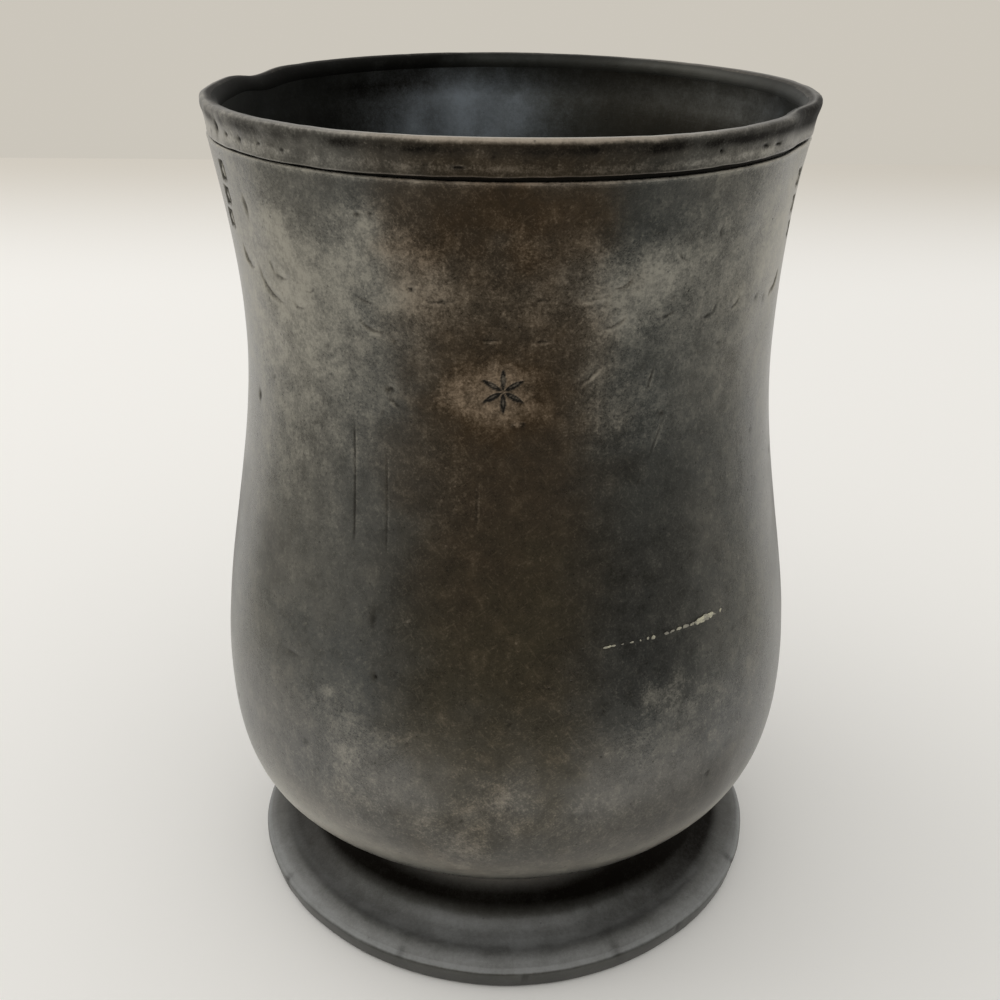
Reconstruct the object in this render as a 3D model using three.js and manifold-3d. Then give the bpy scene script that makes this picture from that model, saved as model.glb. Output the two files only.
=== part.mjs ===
// A pewter pint mug: a bulbous body in two castings, a lip band, a base plate, a moulded foot
// and a hollow-cast handle, all soft-soldered together.
// Millimetres, +Z up. The body's axis is vertical and the handle is on the +Y side.
// The origin is on the table, under the middle of the mug and its handle.

import * as THREE from "three";
import { mergeVertices } from "three/addons/utils/BufferGeometryUtils.js";
import Module from "manifold-3d";

// Heights of the body, stacked from the table upwards
const FOOT_HEIGHT = 12.7; // table to the underside of the bowl
const BOWL_DEPTH = 26; // underside of the bowl to the widest part of the belly
const SEAM_RISE = 21.3; // belly to the seam between the two body castings
const WAIST_RISE = 53.8; // belly to the waist
const NECK_RISE = 29.5; // waist to the shoulder that carries the lip band
const LIP_HEIGHT = 5; // that shoulder to the top of the lip

// Radii and wall of the body
const BASE_RADIUS = 25.4; // opening under the bowl
const BELLY_RADIUS = 45.7;
const WAIST_RADIUS = 39.2;
const NECK_RADIUS = 42.1; // body at the shoulder under the lip band
const WALL = 1.8;

// Joints
const JOINT_GAP = 0.3; // between two seated pieces
const BEAD_GAP = 0.1; // between a solder bead and the groove that it lies in
const SEAM_LAP = 2.5; // height of the tongue inside the body seam
const SEAM_CHAMFER = 0.5; // half of the seam's groove, seen from outside
const SOLDER_LEG = 1.1; // leg of a solder fillet
const SOLDER_EDGE = 0.35; // thickness that a fillet thins out to

// Lip band
const LIP_PROUD = 0.45; // band outside the wall, at its lower edge
const LIP_FLARE = 0.45; // how much wider the band is at the top
const LIP_CREVICE = 0.7; // open line under the band
const LIP_REBATE = 0.8; // step in the wall that the band's skirt fills
const LIP_CAP = 2; // band above the edge of the wall
const LIP_ROUND = 1.1; // rounding of the lip

// Base plate
const BASE_FLANGE = 3; // how far the flange laps under the bowl
const BASE_FLANGE_THICKNESS = 1.6;

// Foot
const FOOT_SPREAD = 10.7; // edge of the foot outside its neck
const FOOT_WALL = 2.2;
const FOOT_EDGE_HEIGHT = 3.6;
const FOOT_REST_WIDTH = 3.4; // flat ring that stands on the table
const FOOT_CHAMFER = 0.4;
const FOOT_SHOULDER_WIDTH = 3.3; // rounded moulding above the edge
const FOOT_SHOULDER_HEIGHT = 1.9;
const FOOT_QUIRK = 0.7; // groove between that moulding and the hollow above it

// Handle
const HANDLE_TOP_DROP = 10; // shoulder under the lip band to the middle of the upper joint
const HANDLE_LOW_RISE = 9; // belly to the middle of the strut
const HANDLE_REACH = 29; // middle of the grip outside the belly, where it is furthest out
const HANDLE_RISE_ANGLE = 22; // degrees above level at which the grip leaves the neck
const HANDLE_TOP_WIDTH = 14;
const HANDLE_TOP_DEPTH = 9;
const HANDLE_TAIL_DIAMETER = 7.6; // the grip is round at its lower end
const HANDLE_WALL = 1.5;
const HANDLE_FLATNESS = 0.55; // inner face of the grip at the top: 1 is an ellipse, less is flatter
const STRUT_LENGTH = 5; // belly to the grip
const STRUT_WIDTH = 7.6;
const STRUT_HEIGHT = 6.4;
const STRUT_FLARE = 1.3; // how much the strut spreads all round where it meets the belly
const TAIL_OUT = 6; // end of the grip's lower curve outside the strut's end
const TAIL_DROP = 11; // end of that curve below the strut
const TERMINAL_RADIUS = 5.4;
const TERMINAL_NECK = 3.1; // radius where the ball leaves its collar
const SPIGOT_LENGTH = 3.5; // terminal inside the grip, which is straight there

// Smoothness
const TURNS = 48; // sides of a piece turned about the body's axis
const TERMINAL_TURNS = 20;
const GRIP_SIDES = 16;
const GRIP_STATIONS = 30;

// Levels worked out from the stack of heights
const BELLY_Z = FOOT_HEIGHT + BOWL_DEPTH;
const SEAM_Z = BELLY_Z + SEAM_RISE;
const WAIST_Z = BELLY_Z + WAIST_RISE;
const NECK_Z = WAIST_Z + NECK_RISE;
const TOP_Z = NECK_Z + LIP_HEIGHT;

const wasm = await Module();
wasm.setup();

const pewter = (name, color, roughness) =>
  new THREE.MeshStandardMaterial({ name, color, roughness, metalness: 1 });
const BODY_PEWTER = pewter("aged pewter", 0x6a6661, 0.42);
const WORN_PEWTER = pewter("worn pewter", 0x8b867c, 0.34);
const DARK_PEWTER = pewter("dark pewter", 0x514e4b, 0.48);
const SOLDER = pewter("solder", 0x9a958b, 0.4);

const point = (radius, height) => new THREE.Vector2(radius, height);

// The body's outer curve: an elliptical bowl, a smooth fall to the waist and a flaring neck.
// Curve parameter 0 is under the bowl, 1 the belly, 2 the waist and 3 the shoulder of the lip.
function bodyPoint(parameter) {
  const piece = Math.min(Math.floor(parameter), 2);
  const t = parameter - piece;
  if (piece === 0) {
    const angle = (t * Math.PI) / 2;
    const turn = BELLY_RADIUS - BASE_RADIUS;
    return point(BASE_RADIUS + turn * Math.sin(angle), BELLY_Z - BOWL_DEPTH * Math.cos(angle));
  }
  if (piece === 1) {
    const ease = t * t * (3 - 2 * t);
    return point(BELLY_RADIUS + (WAIST_RADIUS - BELLY_RADIUS) * ease, BELLY_Z + WAIST_RISE * t);
  }
  return point(WAIST_RADIUS + (NECK_RADIUS - WAIST_RADIUS) * t * t, WAIST_Z + NECK_RISE * t);
}

// Parameter of the outer curve at a height above the belly, and the body's radius there.
function parameterAt(height) {
  return height < WAIST_Z ? 1 + (height - BELLY_Z) / WAIST_RISE : 2 + (height - WAIST_Z) / NECK_RISE;
}
const radiusAt = (height) => bodyPoint(parameterAt(height)).x;

// A point of the body's curve, moved inwards by an inset square to the wall.
function bodyAt(parameter, inset) {
  const nudge = 1e-4;
  const before = bodyPoint(Math.max(parameter - nudge, 0));
  const after = bodyPoint(Math.min(parameter + nudge, 3));
  const along = after.sub(before).normalize();
  return bodyPoint(parameter).add(point(-along.y, along.x).multiplyScalar(inset));
}

// A stretch of the body's curve, moved inwards by the same inset all along.
function bodyOutline(from, to, steps, inset = 0) {
  return Array.from({ length: steps + 1 }, (_, index) =>
    bodyAt(from + ((to - from) * index) / steps, inset));
}

// A quarter of an ellipse about a centre, between two angles in degrees.
function arc(centreRadius, centreHeight, across, up, from, to, steps) {
  return new THREE.EllipseCurve(
    centreRadius, centreHeight, across, up,
    THREE.MathUtils.degToRad(from), THREE.MathUtils.degToRad(to), to < from,
  ).getPoints(steps);
}

// Turns a profile about the vertical axis. A ring's profile closes on itself, and a disc's
// starts and ends on the axis. The outside of the profile runs upwards.
function turned(profile, turns = TURNS) {
  const onAxis = profile[0].x === 0;
  const loop = onAxis ? profile : [...profile, profile[0]];
  return new THREE.LatheGeometry(loop, turns).rotateX(Math.PI / 2);
}

// Skins a row of rings and closes its two ends.
function loft(rings) {
  const sides = rings[0].length;
  const last = rings.length - 1;
  const middle = (ring) => ring.reduce((sum, p) => sum.add(p), new THREE.Vector3()).divideScalar(sides);
  const points = [...rings.flat(), middle(rings[0]), middle(rings[last])];
  const [startCentre, endCentre] = [points.length - 2, points.length - 1];
  const faces = [];
  for (let side = 0; side < sides; side += 1) {
    const next = (side + 1) % sides;
    for (let row = 0; row < last; row += 1) {
      const [a, b] = [row * sides + side, row * sides + next];
      faces.push(a, a + sides, b, b, a + sides, b + sides);
    }
    faces.push(startCentre, side, next);
    faces.push(endCentre, last * sides + next, last * sides + side);
  }
  const geometry = new THREE.BufferGeometry().setFromPoints(points);
  return geometry.setIndex(faces);
}

// Solids for cutting, and back again to a geometry.
function solid(geometry) {
  const bare = geometry.clone();
  bare.deleteAttribute("normal");
  bare.deleteAttribute("uv");
  const merged = mergeVertices(bare, 1e-5);
  return new wasm.Manifold(new wasm.Mesh({
    numProp: 3,
    vertProperties: new Float32Array(merged.attributes.position.array),
    triVerts: new Uint32Array(merged.index.array),
  }));
}

function geometryOf(manifold) {
  const mesh = manifold.getMesh();
  const geometry = new THREE.BufferGeometry();
  geometry.setAttribute("position", new THREE.BufferAttribute(mesh.vertProperties, 3));
  geometry.setIndex(new THREE.BufferAttribute(mesh.triVerts, 1));
  geometry.computeVertexNormals();
  return geometry;
}

// Lip band and the wall's edge under it
const MOUTH_RADIUS = NECK_RADIUS - WALL;
const WALL_TOP = TOP_Z - LIP_CAP - JOINT_GAP;
const REBATE_RADIUS = NECK_RADIUS - LIP_REBATE;

function lipBand() {
  const skirt = REBATE_RADIUS + JOINT_GAP;
  const low = NECK_Z + LIP_CREVICE;
  const outer = NECK_RADIUS + LIP_PROUD;
  const lipRadius = outer + LIP_FLARE;
  return turned([
    point(skirt, low),
    point(outer, low),
    ...arc(lipRadius - LIP_ROUND, TOP_Z - LIP_ROUND, LIP_ROUND, LIP_ROUND, 0, 90, 4),
    ...arc(MOUTH_RADIUS + LIP_ROUND / 2, TOP_Z - LIP_ROUND / 2, LIP_ROUND / 2, LIP_ROUND / 2, 90, 180, 2),
    point(MOUTH_RADIUS, WALL_TOP + JOINT_GAP),
    point(skirt, WALL_TOP + JOINT_GAP),
  ]);
}

function lipSolder() {
  const inner = REBATE_RADIUS + BEAD_GAP;
  const outer = NECK_RADIUS - BEAD_GAP;
  const low = NECK_Z + BEAD_GAP;
  const high = NECK_Z + LIP_CREVICE - BEAD_GAP;
  return turned([point(inner, low), point(outer, low), point(outer, high), point(inner, high)]);
}

// The two body castings meet in a lap: a tongue on the lower one inside a skirt on the upper one.
const SEAM = parameterAt(SEAM_Z);
const LAP_WALL = (WALL - JOINT_GAP) / 2;
const seamChamferEnd = SEAM_CHAMFER / WAIST_RISE;

function upperBody() {
  const skirtStart = parameterAt(SEAM_Z + JOINT_GAP / 2);
  const skirtTop = parameterAt(SEAM_Z + SEAM_LAP + JOINT_GAP);
  return turned([
    bodyAt(skirtStart, SEAM_CHAMFER),
    ...bodyOutline(skirtStart + seamChamferEnd, 2, 7),
    ...bodyOutline(2, 3, 5).slice(1),
    point(REBATE_RADIUS, NECK_Z),
    point(REBATE_RADIUS, WALL_TOP),
    point(MOUTH_RADIUS, WALL_TOP),
    ...bodyOutline(3, 2, 5, WALL),
    ...bodyOutline(2, skirtTop, 7, WALL).slice(1),
    bodyAt(skirtTop, LAP_WALL),
    bodyAt(skirtStart, LAP_WALL),
  ]);
}

function seamSolder() {
  const half = SEAM_CHAMFER - BEAD_GAP;
  const [below, above] = [parameterAt(SEAM_Z - half), parameterAt(SEAM_Z + half)];
  return turned([
    bodyAt(below, 0),
    bodyAt(above, 0),
    bodyAt(SEAM, half),
  ]);
}

function lowerBody() {
  const skirtEnd = parameterAt(SEAM_Z - JOINT_GAP / 2);
  const tongueTop = parameterAt(SEAM_Z + SEAM_LAP);
  const tongue = LAP_WALL + JOINT_GAP;
  return turned([
    ...bodyOutline(0, 1, 10),
    ...bodyOutline(1, skirtEnd - seamChamferEnd, 4).slice(1),
    bodyAt(skirtEnd, SEAM_CHAMFER),
    ...bodyOutline(skirtEnd, tongueTop, 1, tongue),
    ...bodyOutline(tongueTop, 1, 5, WALL),
    ...bodyOutline(1, 0, 9, WALL).slice(1),
  ]);
}

// The base plate's spigot fills the opening under the bowl, and its flange laps the bowl from below.
const FLANGE_TOP = FOOT_HEIGHT - JOINT_GAP;
const FLANGE_LOW = FLANGE_TOP - BASE_FLANGE_THICKNESS;
const FLANGE_RADIUS = BASE_RADIUS + BASE_FLANGE;

function basePlate() {
  const spigot = BASE_RADIUS - JOINT_GAP;
  const floor = FOOT_HEIGHT + WALL;
  return turned([
    point(0, FLANGE_LOW),
    point(FLANGE_RADIUS, FLANGE_LOW),
    point(FLANGE_RADIUS, FLANGE_TOP),
    point(spigot, FLANGE_TOP),
    point(spigot, floor),
    point(0, floor),
  ]);
}

// Height of the bowl's underside at a radius outside the opening.
function bowlUnderside(radius) {
  const across = (radius - BASE_RADIUS) / (BELLY_RADIUS - BASE_RADIUS);
  return BELLY_Z - BOWL_DEPTH * Math.sqrt(1 - across * across);
}

function baseSolder() {
  const inner = FLANGE_RADIUS + BEAD_GAP;
  return turned([
    point(inner, FLANGE_LOW + BEAD_GAP),
    point(inner + SOLDER_LEG, bowlUnderside(inner + SOLDER_LEG) - BEAD_GAP),
    point(inner, bowlUnderside(inner) - BEAD_GAP),
  ]);
}

// The foot's neck stands round the base plate and its solder.
const NECK_INNER = FLANGE_RADIUS + SOLDER_LEG + JOINT_GAP;
const NECK_OUTER = NECK_INNER + FOOT_WALL;
const FOOT_RADIUS = NECK_OUTER + FOOT_SPREAD;
const FOOT_TOP = bowlUnderside(NECK_OUTER) - JOINT_GAP;
const FOOT_HOLLOW_TOP = FOOT_TOP - SOLDER_LEG;

function footRing() {
  const hollowRadius = FOOT_RADIUS - FOOT_SHOULDER_WIDTH - FOOT_QUIRK;
  const hollowBase = FOOT_EDGE_HEIGHT + FOOT_SHOULDER_HEIGHT - FOOT_QUIRK / 2;
  const [across, up] = [hollowRadius - NECK_OUTER, FOOT_HOLLOW_TOP - hollowBase];
  const restInner = FOOT_RADIUS - FOOT_REST_WIDTH;
  const shoulderInner = FOOT_RADIUS - FOOT_SHOULDER_WIDTH;
  return turned([
    point(restInner, 0),
    point(FOOT_RADIUS - FOOT_CHAMFER, 0),
    point(FOOT_RADIUS, FOOT_CHAMFER),
    ...arc(shoulderInner, FOOT_EDGE_HEIGHT, FOOT_SHOULDER_WIDTH, FOOT_SHOULDER_HEIGHT, 0, 90, 5),
    point(shoulderInner, hollowBase - FOOT_QUIRK),
    point(hollowRadius, hollowBase - FOOT_QUIRK / 2),
    ...arc(hollowRadius, FOOT_HOLLOW_TOP, across, up, 270, 180, 6),
    point(NECK_OUTER, FOOT_TOP),
    point(NECK_INNER, bowlUnderside(NECK_INNER) - JOINT_GAP),
    ...arc(hollowRadius, FOOT_HOLLOW_TOP, across + FOOT_WALL, up + FOOT_WALL, 180, 270, 6),
    point(restInner, hollowBase - FOOT_WALL),
  ]);
}

function footSolder() {
  const inner = NECK_OUTER + BEAD_GAP;
  return turned([
    point(inner, FOOT_HOLLOW_TOP),
    point(inner + SOLDER_LEG, bowlUnderside(inner + SOLDER_LEG) - BEAD_GAP),
    point(inner, bowlUnderside(inner) - BEAD_GAP),
  ]);
}

// Handle: its middle line lies in the plane x = 0 and runs from the neck, over the hand's knuckles,
// in to the strut and out again to the terminal.
const TOP_JOINT_Z = NECK_Z - HANDLE_TOP_DROP;
const LOW_JOINT_Z = BELLY_Z + HANDLE_LOW_RISE;
const inPlane = (y, z) => new THREE.Vector3(0, y, z);

// Shape of that line: how far down it is furthest out, and the pull of its curves' control points
const FURTHEST_SHARE = 0.33;
const ARCH_PULL = 0.6;
const SIDE_PULL = 0.25;
const TAIL_PULL = 0.5;
const TAIL_LEVEL = 0.12;

function handleLine() {
  const rise = THREE.MathUtils.degToRad(HANDLE_RISE_ANGLE);
  const start = inPlane(radiusAt(TOP_JOINT_Z), TOP_JOINT_Z);
  const lowY = radiusAt(LOW_JOINT_Z) + STRUT_LENGTH + HANDLE_TAIL_DIAMETER / 2;
  const low = inPlane(lowY, LOW_JOINT_Z);
  const furthestY = BELLY_RADIUS + HANDLE_REACH;
  const drop = TOP_JOINT_Z - LOW_JOINT_Z;
  const furthest = inPlane(furthestY, TOP_JOINT_Z - drop * FURTHEST_SHARE);
  const tail = inPlane(lowY + TAIL_OUT, LOW_JOINT_Z - TAIL_DROP);
  const lead = (furthestY - start.y) * ARCH_PULL;
  const line = new THREE.CurvePath();
  line.add(new THREE.CubicBezierCurve3(
    start,
    start.clone().add(inPlane(lead * Math.cos(rise), lead * Math.sin(rise))),
    furthest.clone().add(inPlane(0, drop * SIDE_PULL)),
    furthest,
  ));
  line.add(new THREE.CubicBezierCurve3(
    furthest,
    furthest.clone().sub(inPlane(0, drop * SIDE_PULL)),
    low.clone().add(inPlane(0, drop * SIDE_PULL)),
    low,
  ));
  line.add(new THREE.CubicBezierCurve3(
    low,
    low.clone().sub(inPlane(0, TAIL_DROP * TAIL_PULL)),
    tail.clone().add(inPlane(-TAIL_OUT * TAIL_PULL, TAIL_DROP * TAIL_LEVEL)),
    tail,
  ));
  return line;
}
const HANDLE_LINE = handleLine();
const HANDLE_LENGTH = HANDLE_LINE.getLength();
const GRIP_END = HANDLE_LENGTH + SPIGOT_LENGTH + JOINT_GAP;

// One ring of the grip, a distance along its middle line: a D that turns round towards the tail.
// Distances before 0 and past the end run straight on.
function gripRing(distance, inset = 0) {
  const share = THREE.MathUtils.clamp(distance / HANDLE_LENGTH, 0, 1);
  const along = HANDLE_LINE.getTangentAt(share);
  const centre = HANDLE_LINE.getPointAt(share).addScaledVector(along, distance - share * HANDLE_LENGTH);
  const outward = inPlane(-along.z, along.y);
  const halfWidth = THREE.MathUtils.lerp(HANDLE_TOP_WIDTH, HANDLE_TAIL_DIAMETER, share) / 2 - inset;
  const halfDepth = THREE.MathUtils.lerp(HANDLE_TOP_DEPTH, HANDLE_TAIL_DIAMETER, share) / 2 - inset;
  const flatness = THREE.MathUtils.lerp(HANDLE_FLATNESS, 1, share);
  return Array.from({ length: GRIP_SIDES }, (_, side) => {
    const angle = (2 * Math.PI * side) / GRIP_SIDES;
    const sine = Math.sin(angle);
    const depth = sine < -1e-9 ? -(Math.abs(sine) ** flatness) : sine;
    return centre.clone()
      .addScaledVector(outward, depth * halfDepth)
      .add(new THREE.Vector3(Math.cos(angle) * halfWidth, 0, 0));
  });
}

function gripSolid(from, to, stations, inset = 0) {
  const rings = Array.from({ length: stations + 1 }, (_, station) =>
    gripRing(from + ((to - from) * station) / stations, inset));
  return solid(loft(rings));
}

// The body with a clearance, as a thick ring that cuts whatever is fitted to it.
function bodyCutter() {
  const inner = WAIST_RADIUS / 2;
  return solid(turned([
    point(inner, FOOT_HEIGHT),
    ...bodyOutline(0, 1, 10, -JOINT_GAP),
    ...bodyOutline(1, 2, 12, -JOINT_GAP).slice(1),
    ...bodyOutline(2, 3, 5, -JOINT_GAP).slice(1),
    point(inner, NECK_Z),
  ]));
}
const BODY_CUTTER = bodyCutter();

function handleGrip() {
  const sunk = HANDLE_TOP_DEPTH;
  const outside = gripSolid(-sunk, GRIP_END, GRIP_STATIONS);
  const hollow = gripSolid(-2 * sunk, GRIP_END + HANDLE_WALL, GRIP_STATIONS, HANDLE_WALL);
  return geometryOf(outside.subtract(BODY_CUTTER).subtract(hollow));
}

// A fillet round the grip's upper end, thinning out along the grip.
function handleTopSolder() {
  const thick = -(JOINT_GAP + SOLDER_LEG);
  const thin = -(JOINT_GAP + SOLDER_EDGE);
  const collar = solid(loft([
    gripRing(-HANDLE_TOP_DEPTH / 2, thick),
    gripRing(JOINT_GAP, thick),
    gripRing(JOINT_GAP + 2 * SOLDER_LEG, thin),
  ]));
  const grip = gripSolid(-HANDLE_TOP_DEPTH, HANDLE_TOP_DEPTH, 4, -JOINT_GAP);
  return geometryOf(collar.subtract(grip).subtract(BODY_CUTTER));
}

// An upright oval ring round the strut's middle line, grown by a margin.
function strutRing(y, margin) {
  return Array.from({ length: GRIP_SIDES }, (_, side) => {
    const angle = (2 * Math.PI * side) / GRIP_SIDES;
    const x = Math.cos(angle) * (STRUT_WIDTH / 2 + margin);
    return new THREE.Vector3(x, y, LOW_JOINT_Z + Math.sin(angle) * (STRUT_HEIGHT / 2 + margin));
  });
}

const STRUT_BODY_Y = radiusAt(LOW_JOINT_Z);
const STRUT_GRIP_Y = STRUT_BODY_Y + STRUT_LENGTH;

function strutSolid(margin) {
  const flare = margin + STRUT_FLARE;
  return solid(loft([
    strutRing(STRUT_BODY_Y - STRUT_LENGTH, flare),
    strutRing(STRUT_BODY_Y, flare),
    strutRing(STRUT_BODY_Y + STRUT_LENGTH / 2, margin),
    strutRing(STRUT_GRIP_Y + HANDLE_TAIL_DIAMETER / 2, margin),
  ]));
}

function handleStrut() {
  const grip = gripSolid(0, HANDLE_LENGTH, GRIP_STATIONS, -JOINT_GAP);
  return geometryOf(strutSolid(0).subtract(BODY_CUTTER).subtract(grip));
}

function handleStrutSolder() {
  const flare = STRUT_FLARE + JOINT_GAP;
  const collar = solid(loft([
    strutRing(STRUT_BODY_Y - STRUT_LENGTH, flare + SOLDER_LEG),
    strutRing(STRUT_BODY_Y, flare + SOLDER_LEG),
    strutRing(STRUT_BODY_Y + JOINT_GAP + SOLDER_LEG, flare + SOLDER_EDGE),
  ]));
  return geometryOf(collar.subtract(strutSolid(JOINT_GAP)).subtract(BODY_CUTTER));
}

// A turned ball with a collar and a spigot. Its axis is set along the grip's lower end.
function handleTerminal() {
  const spigot = HANDLE_TAIL_DIAMETER / 2 - HANDLE_WALL - JOINT_GAP;
  const collar = HANDLE_TAIL_DIAMETER / 2;
  const collarEnd = JOINT_GAP + HANDLE_WALL;
  const ballStart = THREE.MathUtils.radToDeg(Math.asin(TERMINAL_NECK / TERMINAL_RADIUS)) - 90;
  const ballCentre = collarEnd - TERMINAL_RADIUS * Math.sin(THREE.MathUtils.degToRad(ballStart));
  return turned([
    point(0, -SPIGOT_LENGTH),
    point(spigot, -SPIGOT_LENGTH),
    point(spigot, JOINT_GAP),
    point(collar, JOINT_GAP),
    point(collar, collarEnd),
    ...arc(0, ballCentre, TERMINAL_RADIUS, TERMINAL_RADIUS, ballStart, 90, 9).slice(0, -1),
    point(0, ballCentre + TERMINAL_RADIUS),
  ], TERMINAL_TURNS);
}

// The assembly
const mug = new THREE.Group();

function add(name, geometry, material) {
  const mesh = new THREE.Mesh(geometry, material);
  mesh.name = name;
  mug.add(mesh);
  return mesh;
}

add("lip_band", lipBand(), WORN_PEWTER);
add("lip_solder", lipSolder(), SOLDER);
add("upper_body", upperBody(), BODY_PEWTER);
add("seam_solder", seamSolder(), SOLDER);
add("lower_body", lowerBody(), BODY_PEWTER);
add("base_plate", basePlate(), DARK_PEWTER);
add("base_solder", baseSolder(), SOLDER);
add("foot_ring", footRing(), DARK_PEWTER);
add("foot_solder", footSolder(), SOLDER);
add("handle_grip", handleGrip(), BODY_PEWTER);
add("handle_strut", handleStrut(), BODY_PEWTER);
add("handle_top_solder", handleTopSolder(), SOLDER);
add("handle_strut_solder", handleStrutSolder(), SOLDER);

const terminal = add("handle_terminal", handleTerminal(), WORN_PEWTER);
const tailDirection = HANDLE_LINE.getTangentAt(1);
terminal.position.copy(HANDLE_LINE.getPointAt(1)).addScaledVector(tailDirection, GRIP_END - HANDLE_LENGTH);
terminal.quaternion.setFromUnitVectors(new THREE.Vector3(0, 0, 1), tailDirection);

// The origin goes midway between the front of the belly and the back of the handle.
const box = new THREE.Box3().setFromObject(mug, true);
mug.position.y = -(box.min.y + box.max.y) / 2;

export default mug;
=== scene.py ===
"""Looks of an old pewter pint mug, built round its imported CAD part.

Metres, +Z up. The handle is on the +Y side, and the photograph shows the -Y side.
"""

import logging
import math
from dataclasses import dataclass, field
from enum import Enum
from typing import Any, Callable, ClassVar, Iterable

import bmesh
import bpy
import numpy as np
from mathutils import Matrix, Vector, noise
from mathutils.geometry import interpolate_bezier


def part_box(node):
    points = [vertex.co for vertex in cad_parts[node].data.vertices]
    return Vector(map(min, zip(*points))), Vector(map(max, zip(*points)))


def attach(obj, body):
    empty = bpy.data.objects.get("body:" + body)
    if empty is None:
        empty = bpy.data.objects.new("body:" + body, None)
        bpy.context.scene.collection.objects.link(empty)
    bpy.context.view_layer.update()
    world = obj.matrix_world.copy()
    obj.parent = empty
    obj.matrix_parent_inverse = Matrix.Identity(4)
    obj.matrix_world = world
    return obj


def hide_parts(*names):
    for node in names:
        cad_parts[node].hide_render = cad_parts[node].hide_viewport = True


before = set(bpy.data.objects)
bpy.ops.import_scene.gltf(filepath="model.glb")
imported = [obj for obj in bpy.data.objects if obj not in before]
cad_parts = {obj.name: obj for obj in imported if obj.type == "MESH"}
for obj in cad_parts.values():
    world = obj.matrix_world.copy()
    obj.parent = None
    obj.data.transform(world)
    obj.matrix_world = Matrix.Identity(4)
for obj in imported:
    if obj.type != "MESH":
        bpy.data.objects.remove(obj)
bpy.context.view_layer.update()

LOG = logging.getLogger("mug")
MM = 0.001
IMAGE_SIDE = 1000
SHARP_ANGLE = math.radians(48)
INSIDE_DEPTH = 0.75 * MM

Colour = tuple[float, float, float, float]
Profile = list[tuple[float, float]]
RadiusAt = Callable[[np.ndarray], np.ndarray]


def grey(red: float, green: float, blue: float) -> Colour:
    """An opaque colour in linear light."""
    return (red, green, blue, 1.0)


def body_axis() -> Vector:
    """Foot of the body's axis on the table, from the CAD frame."""
    low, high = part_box("lower_body")
    return Vector(((low.x + high.x) / 2, (low.y + high.y) / 2, 0))


AXIS = body_axis()


class Slot(Enum):
    """The record's material slots."""

    AGED = "aged_pewter"
    WORN = "worn_pewter"
    DARK = "dark_pewter"
    SOLDER = "solder"


# Shader expressions


class Value:
    """A socket in a shader expression. Arithmetic on it adds Math nodes."""

    def __init__(self, graph: "Graph", socket: bpy.types.NodeSocket) -> None:
        """Keeps the socket and the graph that it belongs to."""
        self.graph = graph
        self.socket = socket

    def math(self, operation: str, first: Any, second: Any) -> "Value":
        """Adds one Math node on two operands."""
        return self.graph.add("ShaderNodeMath", {"operation": operation}, {0: first, 1: second})

    def __add__(self, other: "Value | float") -> "Value":
        """Sum."""
        return self.math("ADD", self, other)

    def __radd__(self, other: float) -> "Value":
        """Sum with a number first."""
        return self.math("ADD", other, self)

    def __sub__(self, other: "Value | float") -> "Value":
        """Difference."""
        return self.math("SUBTRACT", self, other)

    def __rsub__(self, other: float) -> "Value":
        """Difference with a number first."""
        return self.math("SUBTRACT", other, self)

    def __mul__(self, other: "Value | float") -> "Value":
        """Product."""
        return self.math("MULTIPLY", self, other)


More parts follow.
